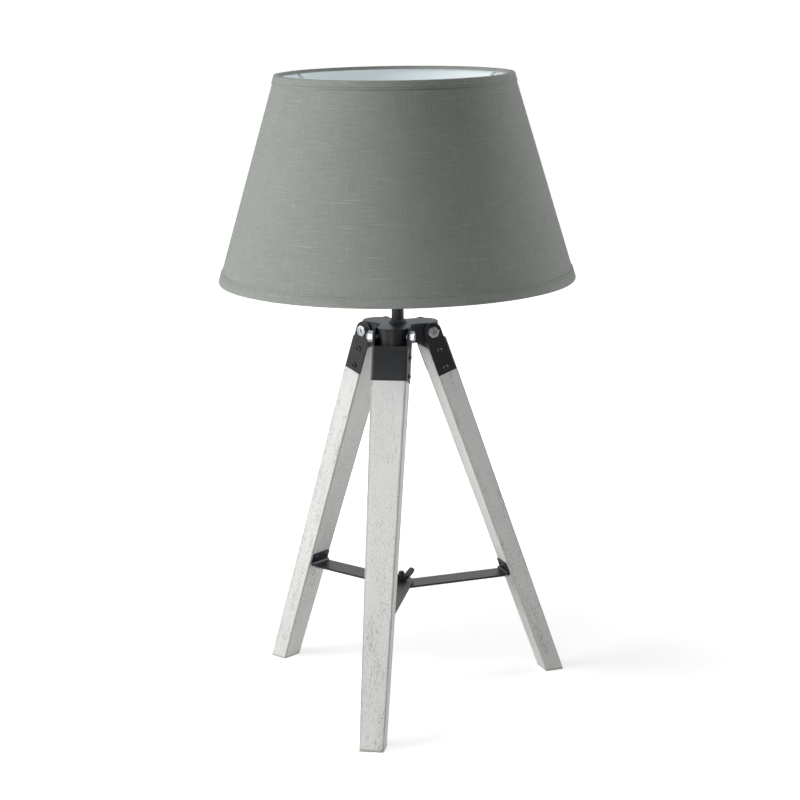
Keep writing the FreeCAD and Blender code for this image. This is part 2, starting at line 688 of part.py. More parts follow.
def make_lamp_holder():
    cap = turned_piece("Cap", [
        ("tie_rod_radius + thread_play", "0"), ("cap_radius - cap_wall", "0"), ("cap_radius", "cap_floor"),
        ("cap_radius", "cap_height"), ("cap_radius - cap_wall", "cap_height"),
        ("cap_radius - cap_wall", "cap_floor"), ("2 * tie_rod_radius", "cap_floor"),
        ("2 * tie_rod_radius", "tie_rod_entry"), ("tie_rod_radius + thread_play", "tie_rod_entry")])
    cap_level = size("hub_top") + size("stem_length")
    node(cap, "lampholder_cap", raised(cap_level))
    sleeve = turned_piece("Sleeve", [
        ("socket_radius", "0"), ("sleeve_radius", "0"), ("sleeve_radius", "shoulder_rise - shoulder_height"),
        ("shoulder_radius", "shoulder_rise - shoulder_height"), ("shoulder_radius", "shoulder_rise"),
        ("sleeve_radius", "shoulder_rise"), ("sleeve_radius", "sleeve_height"), ("socket_radius", "sleeve_height")])
    node(sleeve, "lampholder_sleeve", raised(size("sleeve_bottom")))
    carrier = rod("cap_radius - cap_wall - insert_play", "insert_height")
    top = size("sleeve_bottom") - size("contact_room")
    node(group(carrier), "lampholder_insert", raised(top - size("insert_height")))
    centre = group(box("-socket_radius / 2", "-contact_width / 2", "0",
                       "socket_radius", "contact_width", "contact_thickness"))
    node(centre, "centre_contact", raised(top))
    side = group(box("side_contact_offset", "-contact_width / 2", "0",
                     "contact_thickness", "contact_width", "contact_room"))
    node(side, "side_contact", raised(top))
    ring_level = size("fitter_level") + size("fitter_plate") + size("ring_play")
    ring = turned_piece("ShadeRing", [
        ("sleeve_radius + shade_ring_play", "0"), ("shade_ring_radius", "0"),
        ("shade_ring_radius", "shade_ring_height - shade_ring_bevel"),
        ("shade_ring_radius - shade_ring_bevel", "shade_ring_height"),
        ("sleeve_radius + shade_ring_play", "shade_ring_height")])
    node(ring, "shade_ring", raised(ring_level))


# ---------------------------------------------------------------- shade

def wire_ring(name, ring_radius, level):
    """A ring of wire, six-sided in section."""
    corners = [(math.cos(math.radians(60 * i)), math.sin(math.radians(60 * i))) for i in range(6)]
    return turned_piece(name, [("%s + %.6f * shade_wire_radius" % (ring_radius, across),
                                "%s + %.6f * shade_wire_radius" % (level, along)) for across, along in corners])


def make_shade():
    """Two laminated cones with taped hems on two wire rings; the upper ring carries the fitter."""
    fabric = turned_piece("Fabric", [
        ("shade_bottom_radius - fabric_thickness", "0"), ("shade_bottom_radius", "0"),
        ("shade_top_radius", "shade_height"), ("shade_top_radius - fabric_thickness", "shade_height")])
    node(fabric, "shade_fabric", raised(size("shade_bottom")))
    wall = "(fabric_thickness + liner_thickness)"
    liner = turned_piece("Liner", [
        ("shade_bottom_radius - %s" % wall, "0"), ("shade_bottom_radius - fabric_thickness", "0"),
        ("shade_top_radius - fabric_thickness", "shade_height"), ("shade_top_radius - %s" % wall, "shade_height")])
    node(liner, "shade_liner", raised(size("shade_bottom")))
    lip = "(%s + wire_gap + shade_wire_radius)" % wall
    low = turned_piece("LowTape", [
        ("shade_bottom_radius - %s" % lip, "-tape_thickness"),
        ("shade_bottom_radius + tape_thickness", "-tape_thickness"),
        ("shade_bottom_radius + tape_thickness - shade_slope * bottom_tape_height", "bottom_tape_height"),
        ("shade_bottom_radius - shade_slope * bottom_tape_height", "bottom_tape_height"),
        ("shade_bottom_radius", "0"), ("shade_bottom_radius - %s" % lip, "0")])
    node(low, "shade_tape_bottom", raised(size("shade_bottom")))
    high = turned_piece("HighTape", [
        ("shade_top_radius - %s" % lip, "tape_thickness"), ("shade_top_radius - %s" % lip, "0"),
        ("shade_top_radius", "0"), ("shade_top_radius + shade_slope * top_tape_height", "-top_tape_height"),
        ("shade_top_radius + tape_thickness + shade_slope * top_tape_height", "-top_tape_height"),
        ("shade_top_radius + tape_thickness", "tape_thickness")])
    node(high, "shade_tape_top", raised(size("shade_top")))
    wire = wire_ring("BottomWire", "(shade_bottom_radius - %s - wire_gap - shade_wire_radius"
                     " - 2 * shade_slope * shade_wire_radius)" % wall, "shade_wire_radius")
    node(wire, "shade_wire_bottom", raised(size("shade_bottom")))
    make_shade_frame(wall)


def make_shade_frame(wall):
    """Top wire ring and fitter ring, joined by three straight arms that are welded to both."""
    ring = wire_ring("TopWire", "(shade_top_radius - %s - wire_gap - shade_wire_radius)" % wall,
                     "shade_top - fitter_level - shade_wire_radius")
    plate = cut(rod("fitter_radius", "fitter_plate"), rod("sleeve_radius + fitter_play", "fitter_plate"))
    level = raised(size("fitter_level"))
    node(ring, "shade_wire_top", level)
    node(plate, "shade_fitter", level)
    foot = Vector(size("fitter_radius") - size("fitter_arm_radius"), 0, size("fitter_plate") / 2)
    wire = size("shade_top_radius") - size("fabric_thickness") - size("liner_thickness") \
        - size("wire_gap") - size("shade_wire_radius")
    head = Vector(wire, 0, size("shade_top") - size("fitter_level") - size("shade_wire_radius"))
    arms = []
    for count in range(3):
        arm = group(stud("fitter_arm_radius", "%.6f" % (head - foot).Length))
        arm.Placement = level * turned(size("fitter_azimuth") + 120 * count) \
            * Placement(foot, Rotation(Z_AXIS, head - foot))
        arms.append(arm)
    node(cut(group(*arms), ring, plate), "shade_frame")


# ---------------------------------------------------------------- build and write

make_hub()
make_stem()
for leg in LEGS:
    make_leg(leg)
    make_bracket(leg)
    make_hinge_bolt(leg)
    make_bracket_screws(leg)
    make_spreader_arm(leg)
    make_hinge_leaf(leg)
make_spreader_fastener()
make_lamp_holder()
make_shade()
doc.recompute()

for thing in doc.Objects:
    if "Invalid" in thing.State or "Error" in thing.State:
        raise RuntimeError("%s did not recompute" % thing.Label)
for thing in NODES:
    if thing.Shape.isNull() or not thing.Shape.isValid():
        raise RuntimeError("%s has no valid shape" % thing.Label)

os.makedirs("parts", exist_ok=True)
for thing in NODES:
    thing.Shape.exportStep("parts/%s.step" % thing.Label)
    print("%-24s %2d solid(s) %10.1f mm3" % (thing.Label, len(thing.Shape.Solids), thing.Shape.Volume))
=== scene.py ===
import json
import math

import bmesh
import bpy
from bpy.props import FloatProperty, FloatVectorProperty, PointerProperty
from mathutils import Matrix, Vector


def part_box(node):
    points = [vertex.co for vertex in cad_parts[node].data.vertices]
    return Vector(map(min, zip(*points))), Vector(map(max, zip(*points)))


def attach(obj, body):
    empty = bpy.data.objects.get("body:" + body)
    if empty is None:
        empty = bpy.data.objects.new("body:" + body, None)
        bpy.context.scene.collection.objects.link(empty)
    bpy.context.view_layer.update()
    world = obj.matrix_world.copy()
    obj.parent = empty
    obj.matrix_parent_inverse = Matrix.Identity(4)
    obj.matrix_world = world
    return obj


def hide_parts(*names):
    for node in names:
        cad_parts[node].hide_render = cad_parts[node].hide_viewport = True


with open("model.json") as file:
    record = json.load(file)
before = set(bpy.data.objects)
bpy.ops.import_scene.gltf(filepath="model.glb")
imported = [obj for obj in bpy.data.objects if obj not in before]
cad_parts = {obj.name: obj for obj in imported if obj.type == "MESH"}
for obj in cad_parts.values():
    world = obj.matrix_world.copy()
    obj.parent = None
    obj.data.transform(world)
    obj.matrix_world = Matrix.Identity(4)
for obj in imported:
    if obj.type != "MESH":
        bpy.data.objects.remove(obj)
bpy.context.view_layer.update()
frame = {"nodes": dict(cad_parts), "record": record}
NODES = frame["nodes"]

bl_info = {
    "name": "Tripod table lamp",
    "version": (1, 0, 0),
    "blender": (4, 5, 0),
    "location": "3D View > Sidebar > Lamp",
    "description": "Dresses a tripod table lamp: shade, wire carrier, fasteners, wood and metal finishes",
    "category": "Object",
}

MM = 0.001
LEGS = {"front": -90, "left": 150, "right": 30}
# hinge bolts and bracket screws face this way along each hinge: 1 is the leg's left side seen from outside
BOLT_SIDE = {"front": 1, "left": 1, "right": -1}
# lean of the legs and of their inner faces, degrees
LEG_LEAN, LEAF_LEAN = 19.8, 19.996
# a leg's hinge bolt: how far out and how high it lies
HINGE_OUT, HINGE_HEIGHT = 30 * MM, 374 * MM
# half a bracket's width over its ears, and how far under the hinge bolt its screws sit
BRACKET_HALF = 18 * MM
SCREW_DROPS = (20 * MM, 38.8 * MM)
# hole and rim of the shade's fitter ring
FITTER_HOLE, FITTER_RIM = 21 * MM, 31 * MM
# the wings' direction, degrees
WING_TURN = 35

# ------------------------------------------------------------------ sizes and colours


def colour(text, value):
    return FloatVectorProperty(name=text, description=text + ", as linear red, green and blue",
                               subtype="COLOR", size=3, min=0, max=1, default=value)


def length(text, value):
    return FloatProperty(name=text, description=text, default=value * MM, min=0, unit="LENGTH")


class ShadeSizes(bpy.types.PropertyGroup):
    bottom_radius: length("Cloth's radius at its lower edge", 175)
    top_radius: length("Cloth's radius at its upper edge", 116)
    cloth: length("Thickness of the cloth", 0.8)
    lining: length("Thickness of the lining", 0.8)
    tape: length("Thickness of the hem tape", 0.8)
    bottom_hem: length("Height of the lower hem", 10)
    top_hem: length("Height of the upper hem", 7)
    lap: length("Width of the cloth's glued lap", 11)
    wire: length("Radius of the wire rings", 1.6)
    arm: length("Radius of the carrier's arms", 1.8)
    lap_azimuth: FloatProperty(name="Lap's azimuth", default=math.radians(112), subtype="ANGLE",
                               description="Where the cloth's lap is, counted from +X")
    arm_azimuth: FloatProperty(name="First arm's azimuth", default=math.radians(38), subtype="ANGLE",
                               description="Where the carrier's first arm points, counted from +X")


class FastenerSizes(bpy.types.PropertyGroup):
    flats: length("Bolt head and nut across their flats", 10)
    head: length("Height of the bolt head", 4)
    nut: length("Height of the nut", 5.2)
    shank: length("Radius of the bolt", 3)
    washer: length("Radius of the washer", 6)
    washer_thickness: length("Thickness of the washer", 1.2)
    button: length("Radius of the bracket screws' heads", 3)
    button_height: length("Height of the bracket screws' heads", 1.8)


class Finishes(bpy.types.PropertyGroup):
    wood: colour("Whitewash on the wood", (0.755, 0.745, 0.725))
    wood_grain: colour("Wood's open grain", (0.27, 0.255, 0.23))
    # colour of the rubbed edges, also used for the painted shadow along each leg's foot
    wood_edge: colour("Wood's rubbed edges", (0.34, 0.315, 0.28))
    black: colour("Black powder coat", (0.0125, 0.0128, 0.0155))
    zinc: colour("Zinc on the bolts", (0.62, 0.63, 0.64))
    cloth: colour("Linen threads", (0.335, 0.357, 0.330))
    lining: colour("White lining film", (0.80, 0.86, 0.88))
    # painted glow: the lining emits light of its own colour, standing in for daylight that comes through the
    # cloth
    lining_glow: FloatProperty(name="Painted glow for daylight through the cloth", default=0.17, min=0, max=1,
                               description="Light that comes through the cloth and brightens the lining")
    white: colour("White powder coat on the wire", (0.80, 0.81, 0.81))
    holder: colour("Lamp holder's moulding", (0.74, 0.74, 0.72))
    brass: colour("Contact springs", (0.72, 0.52, 0.24))
    floor: colour("Floor", (0.86, 0.86, 0.86))
    thread_pitch: length("Distance from one cloth thread to the next", 0.75)


def shade_sizes():
    return bpy.context.scene.lamp_shade


def fastener_sizes():
    return bpy.context.scene.lamp_fasteners


def finishes():
    return bpy.context.scene.lamp_finishes


# ------------------------------------------------------------------ shader maths


class Wire:
    """One output socket; Python's operators on it add Math nodes."""

    def __init__(self, finish, socket):
        self.finish = finish
        self.socket = socket

    def __add__(self, other):
        return self.finish.maths("ADD", self, other)

    def __radd__(self, other):
        return self.finish.maths("ADD", other, self)

    def __sub__(self, other):
        return self.finish.maths("SUBTRACT", self, other)

    def __rsub__(self, other):
        return self.finish.maths("SUBTRACT", other, self)

    def __mul__(self, other):
        return self.finish.maths("MULTIPLY", self, other)

    def __truediv__(self, other):
        return self.finish.maths("DIVIDE", self, other)

    def __pow__(self, other):
        return self.finish.maths("POWER", self, other)

    def sine(self):
        return self.finish.maths("SINE", self)

    def ramp(self, low, high, bottom=0.0, top=1.0):
        """The value carried smoothly from low..high to bottom..top, and clamped there."""
        return self.finish.add("MapRange", {"interpolation_type": "SMOOTHSTEP"}, self, low, high, bottom, top)


class Finish:
    """A material built node by node."""

    def __init__(self, name, tree=None):
        if tree is None:
            self.material = bpy.data.materials.new(name)
            self.material.use_nodes = True
            tree = self.material.node_tree
        self.tree = tree
        self.tree.nodes.clear()

    def add(self, kind, settings=None, *values, out=0, **named):
        """A node of one type, its settings, then its sockets' values or links, in order or by name."""
        node = self.tree.nodes.new("ShaderNode" + kind)
        for key, value in (settings or {}).items():
            setattr(node, key, value)
        sockets = list(zip(node.inputs, values))
        sockets += [(node.inputs[key.replace("_", " ")], value) for key, value in named.items()]
        for socket, value in sockets:
            if isinstance(value, Wire):
                self.tree.links.new(value.socket, socket)
            elif value is not None:
                socket.default_value = value
        return Wire(self, node.outputs[out]) if len(node.outputs) else None

    def maths(self, operation, *values):
        return self.add("Math", {"operation": operation}, *values)

    def place(self):
        return self.add("TexCoord", out="Object")

    def stretched(self, vector, x, y, z):
        return self.add("VectorMath", {"operation": "MULTIPLY"}, vector, (x, y, z))

    def noise(self, vector, scale=1.0, detail=2.0, roughness=0.5, distortion=0.0):
        return self.add("TexNoise", None, Vector=vector, Scale=scale, Detail=detail, Roughness=roughness,
                        Distortion=distortion)

    def parts(self, vector):
        node = self.tree.nodes.new("ShaderNodeSeparateXYZ")
        self.tree.links.new(vector.socket, node.inputs[0])
        return [Wire(self, socket) for socket in node.outputs]

    def blend(self, factor, first, second, blend_type="MIX"):
        """Two colours mixed by factor."""
        node = self.tree.nodes.new("ShaderNodeMix")
        node.data_type = "RGBA"
        node.blend_type = blend_type
        for index, value in ((0, factor), (6, first), (7, second)):
            if isinstance(value, Wire):
                self.tree.links.new(value.socket, node.inputs[index])
            else:
                node.inputs[index].default_value = value if index == 0 else tuple(value) + (1,)
        return Wire(self, node.outputs[2])

    def tinted(self, tint, value):
        """A colour made lighter and darker by a value about 1."""
        grey = self.add("CombineColor", None, value, value, value)
        return self.blend(1.0, tint, grey, "MULTIPLY")

    def bump(self, height, distance, strength=1.0):
        return self.add("Bump", None, Height=height, Distance=distance, Strength=strength)

    def surface(self, **sockets):
        shader = self.add("BsdfPrincipled", None, **sockets)
        self.add("OutputMaterial", None, shader)
        return self.material


# ------------------------------------------------------------------ finishes


def hinge_frame(azimuth):
    """At a leg's hinge bolt: Z up along the leg, X out through its outer face, Y along the bolt."""
    lean = Matrix.Rotation(math.radians(-LEG_LEAN), 4, "Y")
    return (Matrix.Rotation(math.radians(azimuth), 4, "Z")
            @ Matrix.Translation((HINGE_OUT, 0, HINGE_HEIGHT)) @ lean)


# a leg's section in its hinge frame: half width and half depth just under the bracket,
# and how fast they shrink
LEG_HALF_WIDTH, LEG_HALF_DEPTH, LEG_MIDDLE = 17.7 * MM, 10.5 * MM, 1.2 * MM
LEG_SIDE_TAPER, LEG_DEPTH_TAPER, LEG_TOP = 0.0166, 0.0037, -45 * MM


def wood_finish(leg):
    """Whitewashed wood: grain along the leg, pores bare in the figured zones, edges rubbed darker, and a
    painted shadow darkening the bottom few millimetres of the leg.
    """
    f = Finish("Whitewashed wood " + leg)
    place = hinge_frame(LEGS[leg])
    shift = {"front": (0.02, 0.013, 0.043), "left": (0.31, 0.17, 0.9), "right": (-0.23, 0.41, -0.7)}[leg]
    local = f.add("Mapping", {"vector_type": "TEXTURE"}, f.place(), tuple(place.translation),
                  tuple(place.to_euler()))
    along = f.add("VectorMath", {"operation": "ADD"}, local, shift)
    x, y, z = f.parts(local)
    sway = f.noise(f.stretched(along, 16, 16, 5), detail=3)
    heart = ((x + 0.055) ** 2 + (y * 1.1 - 0.004) ** 2) ** 0.5
    figure = (heart * 620 + sway * 15.0 + z * 9.0).sine()
    bare = figure.ramp(-0.45, 0.75) * f.noise(f.stretched(along, 60, 60, 24), detail=4).ramp(0.30, 0.60)
    wriggle = f.noise(f.stretched(along, 420, 420, 140), detail=2)
    strands = f.add("VectorMath", {"operation": "ADD"}, f.stretched(along, 1250, 1250, 150),
                    f.add("CombineXYZ", None, wriggle * 2.4, wriggle * 2.4, 0.0))
    pores = f.noise(strands, detail=3, roughness=0.55).ramp(0.53, 0.70)
    specks = f.noise(f.stretched(along, 1500, 1500, 520), detail=3, roughness=0.6).ramp(0.50, 0.68)
    fibre = f.noise(f.stretched(along, 800, 800, 18), detail=4, roughness=0.62)
    cloud = f.noise(f.stretched(along, 85, 85, 40), detail=4, roughness=0.6)
    wide = f.maths("ABSOLUTE", y) / (z * LEG_SIDE_TAPER + (LEG_HALF_WIDTH - LEG_TOP * LEG_SIDE_TAPER))
    deep = f.maths("ABSOLUTE", x - LEG_MIDDLE) / (
        z * LEG_DEPTH_TAPER + (LEG_HALF_DEPTH - LEG_TOP * LEG_DEPTH_TAPER))
    edge = f.maths("MINIMUM", wide, deep) + (cloud - 0.5) * 0.10
    rubbed = edge.ramp(0.84, 0.97)
    fine = f.noise(f.stretched(along, 22, 22, 7), detail=3).ramp(0.36, 0.58)
    dark = (0.16 + bare * 0.75) * pores * 0.95 + (0.25 + fine * 0.75) * specks * 0.85
    dark = dark + (fibre - 0.5) * 0.45 + (cloud - 0.5) * 0.35
    shown = (dark + bare * 0.10).ramp(0.0, 1.0)
    wash = f.blend(f.noise(f.stretched(along, 34, 34, 9), detail=3).ramp(0.3, 0.7),
                   finishes().wood, tuple(c * k for c, k in zip(finishes().wood, (0.94, 0.965, 0.97))))
    skin = f.blend(shown * 0.78, wash, finishes().wood_grain)
    # painted shadow: the lowest few millimetres of each leg are darkened where it meets the floor
    painted_foot_shadow = 1 - f.parts(f.place())[2].ramp(0.6 * MM, 3.2 * MM)
    # rubbed edges are wear on the wood; the darkening at the foot is painted shadow, both in the same colour
    skin = f.blend(f.maths("MAXIMUM", rubbed * 0.72, painted_foot_shadow * 0.75), skin, finishes().wood_edge)
    relief = fibre * 0.5 - pores * bare * 0.9 - figure * 0.10 + cloud * 0.4
    return f.surface(Base_Color=skin, Roughness=0.60 + shown * 0.22,
                     Normal=f.bump(relief, 0.0005, 0.6))


def powder_coat(name, tint, roughness, relief):
    f = Finish(name)
    at = f.place()
    orange_peel = f.noise(at, 1300, 2, 0.5)
    broad = f.noise(at, 45, 3, 0.6)
    rubbed = f.noise(at, 210, 5, 0.7).ramp(0.62, 0.74)
    skin = f.tinted(tint, 0.82 + broad * 0.36 + rubbed * 0.5)
    return f.surface(Base_Color=skin, Roughness=roughness - 0.05 + broad * 0.1 - rubbed * 0.04,
                     Normal=f.bump(orange_peel, relief, 0.5), Specular_IOR_Level=0.5)


def zinc_finish():
    f = Finish("Zinc plate")
    at = f.place()
    cloud = f.noise(at, 260, 4, 0.6)
    marks = f.noise(f.stretched(at, 1400, 1400, 4200), 1, 2)
    skin = f.blend(cloud.ramp(0.3, 0.7), finishes().zinc, (0.50, 0.52, 0.55))
    return f.surface(Base_Color=skin, Metallic=1.0, Roughness=0.2 + marks * 0.16 + cloud * 0.06,
                     Normal=f.bump(marks, 0.00004, 0.5))


def screw_finish():
    f = Finish("Blackened screw steel")
    cloud = f.noise(f.place(), 500, 4, 0.6)
    skin = f.blend(cloud.ramp(0.35, 0.7), (0.035, 0.035, 0.038), (0.09, 0.09, 0.095))
    return f.surface(Base_Color=skin, Metallic=0.6, Roughness=0.16 + cloud * 0.12,
                     Normal=f.bump(cloud, 0.00005, 0.4))


def brass_finish():
    f = Finish("Brass contacts")
    cloud = f.noise(f.place(), 420, 4, 0.6)
    skin = f.blend(cloud.ramp(0.3, 0.7), finishes().brass, (0.5, 0.36, 0.17))
    return f.surface(Base_Color=skin, Metallic=1.0, Roughness=0.24 + cloud * 0.2)


def moulding_finish():
    f = Finish("Moulded holder")
    at = f.place()
    haze = f.noise(at, 60, 3, 0.6)
    grit = f.noise(at, 2200, 2)
    skin = f.tinted(finishes().holder, 0.96 + haze * 0.08)
    return f.surface(Base_Color=skin, Roughness=0.3 + haze * 0.12, Normal=f.bump(grit, 0.00003, 0.4))


def cloth_finish(name, depth=1.0):
    """Slub linen: thick and thin threads both ways, read from the piece's own UV map in metres."""
    f = Finish(name)
    on = f.add("UVMap", {"uv_map": "weave"})
    pitch = 2 * math.pi / finishes().thread_pitch
    wander = f.noise(f.stretched(on, 130, 130, 0), detail=3)
    across, up, flat = f.parts(on)
    warp_weight = f.noise(f.stretched(on, 1400, 42, 0), detail=3, roughness=0.6)
    weft_weight = f.noise(f.stretched(on, 42, 1400, 0), detail=3, roughness=0.6)
    warp = (across * pitch + wander * 5).sine() * 0.5 + 0.5
    weft = (up * pitch + wander * 5).sine() * 0.5 + 0.5
    slub = f.noise(f.stretched(on, 26, 420, 0), detail=2).ramp(0.60, 0.74)
    slub_up = f.noise(f.stretched(on, 420, 30, 0), detail=2).ramp(0.62, 0.76)
    broad = f.noise(f.stretched(on, 12, 12, 0), detail=3)
    shade = (0.90 + (warp_weight - 0.5) * 0.42 + (weft_weight - 0.5) * 0.46 + (warp * weft - 0.3) * 0.07
             + slub * 0.20 + slub_up * 0.12 + (broad - 0.5) * 0.10)
    skin = f.tinted(finishes().cloth, shade)
    skin = f.blend(f.noise(f.stretched(on, 90, 700, 0), detail=2).ramp(0.55, 0.75, 0, 0.30), skin,
                   tuple(c * k for c, k in zip(finishes().cloth, (1.28, 1.22, 1.12))))
    height = warp * 0.22 + weft * 0.22 + warp_weight * 0.7 + weft_weight * 0.8 + slub * 0.7 + slub_up * 0.5
    return f.surface(Base_Color=skin, Roughness=0.86, Sheen_Weight=0.22, Sheen_Roughness=0.5,
                     Specular_IOR_Level=0.2, Normal=f.bump(height, 0.00035 * depth, 0.75))


def lining_finish():
    f = Finish("White lining film")
    at = f.place()
    broad = f.noise(at, 9, 3)
    web = f.noise(at, 900, 3, 0.6)
    skin = f.tinted(finishes().lining, 0.97 + broad * 0.05 + web * 0.02)
    # the emission is a painted glow standing in for light that comes through the cloth
    return f.surface(Base_Color=skin, Roughness=0.46 + broad * 0.08, Normal=f.bump(web, 0.00005, 0.4),
                     Emission_Color=skin, Emission_Strength=finishes().lining_glow)


MATERIALS = {}


def finish_named(name):
    """Each finish is built once."""
    if name not in MATERIALS:
        makers = {
            "whitewashed_wood front": lambda: wood_finish("front"),
            "whitewashed_wood left": lambda: wood_finish("left"),
            "whitewashed_wood right": lambda: wood_finish("right"),
            "black_metal": lambda: powder_coat("Black powder coat", finishes().black, 0.37, 0.00005),
            "white_wire": lambda: powder_coat("White powder coat", finishes().white, 0.34, 0.00003),
            "zinc_steel": zinc_finish,
            "screw_steel": screw_finish,
            "brass_parts": brass_finish,
            "holder_plastic": moulding_finish,
            "shade_cloth": lambda: cloth_finish("Slub linen"),
            "hem_tape": lambda: cloth_finish("Folded linen tape", 0.8),
            "shade_lining": lining_finish,
        }
        MATERIALS[name] = makers[name]()
    return MATERIALS[name]


# ------------------------------------------------------------------ modelling helpers


def deselect():
    if bpy.context.object and bpy.context.object.mode != "OBJECT":
        bpy.ops.object.mode_set(mode="OBJECT")
    bpy.ops.object.select_all(action="DESELECT")


def started(name):
    """The primitive just added, named, with its place moved into its mesh."""
    piece = bpy.context.object
    piece.name = name
    piece.data.name = name
    bpy.ops.object.transform_apply(location=True, rotation=True, scale=True)
    return piece


def primitive(kind, name, **settings):
    deselect()
    getattr(bpy.ops.mesh, "primitive_%s_add" % kind)(**settings)
    return started(name)


class Editing:
    """Edit mode on one piece; pick() selects faces, edges or vertices by a test."""

    def __init__(self, piece, mode="FACE"):
        self.piece = piece
        self.mode = mode

    def __enter__(self):
        deselect()
        bpy.context.view_layer.objects.active = self.piece
        self.piece.select_set(True)
        bpy.ops.object.mode_set(mode="EDIT")
        bpy.ops.mesh.select_mode(type=self.mode)
        bpy.ops.mesh.select_all(action="DESELECT")
        return self

    def __exit__(self, *trouble):
        bpy.ops.object.mode_set(mode="OBJECT")

    def mesh(self):
        return bmesh.from_edit_mesh(self.piece.data)

    def pick(self, test):
        bpy.ops.mesh.select_all(action="DESELECT")
        mesh = self.mesh()
        found = {"FACE": mesh.faces, "EDGE": mesh.edges, "VERT": mesh.verts}[self.mode]
        for element in found:
            element.select = test(element)
        mesh.select_flush_mode()
        bmesh.update_edit_mesh(self.piece.data)

    def pick_all(self):
        bpy.ops.mesh.select_all(action="SELECT")


def tidy(piece, gap=0.000001):
    with Editing(piece, "VERT") as edit:
        edit.pick_all()
        bpy.ops.mesh.remove_doubles(threshold=gap)
        bpy.ops.mesh.normals_make_consistent(inside=False)
    return piece


def smooth(piece, angle=35):
    deselect()
    bpy.context.view_layer.objects.active = piece
    piece.select_set(True)
    bpy.ops.object.shade_smooth_by_angle(angle=math.radians(angle))
    return piece


def modify(piece, kind, **settings):
    deselect()
    bpy.context.view_layer.objects.active = piece
    piece.select_set(True)
    bpy.ops.object.modifier_add(type=kind)
    modifier = piece.modifiers[-1]
    for key, value in settings.items():
        setattr(modifier, key, value)
    bpy.ops.object.modifier_apply(modifier=modifier.name)
    return piece


def carve(piece, cutter, operation="DIFFERENCE"):
    modify(piece, "BOOLEAN", object=cutter, operation=operation, solver="EXACT")
    bpy.data.objects.remove(cutter)
    return piece


def spun(name, outline, steps):
    """A ring turned round Z from its closed outline, pairs of radius and height."""
    piece = primitive("circle", name, vertices=len(outline), radius=1, fill_type="NOTHING")
    for vertex, (radius, height) in zip(piece.data.vertices, outline):
        vertex.co = (radius, 0, height)
    with Editing(piece, "VERT") as edit:
        edit.pick_all()
        bpy.ops.mesh.spin(steps=steps, angle=2 * math.pi, center=(0, 0, 0), axis=(0, 0, 1))
    return tidy(piece)


def moved(piece, place):
    piece.data.transform(place)
    piece.data.update()
    return piece


def joined(name, pieces):
    deselect()
    for piece in pieces:
        piece.select_set(True)
    bpy.context.view_layer.objects.active = pieces[0]
    if len(pieces) > 1:
        bpy.ops.object.join()
    whole = bpy.context.object
    whole.name = name
    whole.data.name = name
    return whole


def copy_of(piece, name, place=None):
    other = piece.copy()
    other.data = piece.data.copy()
    other.name = name
    other.data.name = name
    bpy.context.scene.collection.objects.link(other)
    if place is not None:
        moved(other, place)
    return other


def wrap(piece, radius):
    """The UV map that the weave follows: round the lamp and up, both in metres."""
    layer = piece.data.uv_layers.get("weave") or piece.data.uv_layers.new(name="weave")
    for face in piece.data.polygons:
        middle = math.atan2(face.center.y, face.center.x)
        for corner in face.loop_indices:
            at = piece.data.vertices[piece.data.loops[corner].vertex_index].co
            turn = math.atan2(at.y, at.x)
            if turn - middle > math.pi:
                turn -= 2 * math.pi
            elif middle - turn > math.pi:
                turn += 2 * math.pi
            layer.data[corner].uv = (turn * radius, at.z)
    return piece


def dress(piece, body, slot, finish=None, replaces=()):
    piece.data.materials.clear()
    piece.data.materials.append(finish_named(finish or slot))
    if replaces:
        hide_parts(*replaces)
    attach(piece, body)
    return piece


# ------------------------------------------------------------------ the shade


def shade_levels():
    low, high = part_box("shade_fabric")
    return low.z, high.z


def cloth_radius(height, inset=0.0):
    """Radius of the cloth's outer face at a height."""
    s = shade_sizes()
    bottom, top = shade_levels()
    share = (height - bottom) / (top - bottom)
    return s.bottom_radius + (s.top_radius - s.bottom_radius) * share - inset


def cone_wall(name, outer_inset, thickness, steps=240):
    bottom, top = shade_levels()
    outline = [(cloth_radius(bottom, outer_inset), bottom), (cloth_radius(top, outer_inset), top),
               (cloth_radius(top, outer_inset + thickness), top),
               (cloth_radius(bottom, outer_inset + thickness), bottom)]
    piece = spun(name, outline, steps)
    with Editing(piece, "EDGE") as edit:
        edit.pick(lambda edge: abs(edge.verts[0].co.z - edge.verts[1].co.z) > thickness)
        bpy.ops.mesh.subdivide(number_cuts=11)
    return smooth(piece)


class LAMP_OT_shade_cloth(bpy.types.Operator):
    """Cone of slub linen with its glued lap at the back"""
    bl_idname = "lamp.shade_cloth"
    bl_label = "Shade cloth"

    def execute(self, context):
        s = shade_sizes()
        bottom, top = shade_levels()
        cloth = cone_wall("shade_cloth_panel", 0, s.cloth)
        mean = (s.bottom_radius + s.top_radius) / 2
        wrap(cloth, mean)
        dress(cloth, "shade", "shade_cloth", replaces=["shade_fabric"])
        lap = primitive("plane", "shade_lap", size=1)
        with Editing(lap, "EDGE") as edit:
            edit.pick_all()
            bpy.ops.mesh.subdivide(number_cuts=11)
        for vertex in lap.data.vertices:
            reach = top - bottom - 0.6 * (s.bottom_hem + s.top_hem)
            height = bottom + s.bottom_hem * 0.6 + (vertex.co.y + 0.5) * reach
            radius = cloth_radius(height) + 0.1 * MM
            turn = s.lap_azimuth + vertex.co.x * s.lap / radius
            vertex.co = (radius * math.cos(turn), radius * math.sin(turn), height)
        modify(lap, "SOLIDIFY", thickness=0.3 * MM, offset=-1 if lap.data.polygons[0].normal.dot(
            lap.data.polygons[0].center) < 0 else 1)
        modify(lap, "BEVEL", width=0.1 * MM, segments=2, limit_method="ANGLE")
        wrap(lap, mean * 1.01)
        dress(smooth(lap), "shade", "shade_cloth")
        return {"FINISHED"}


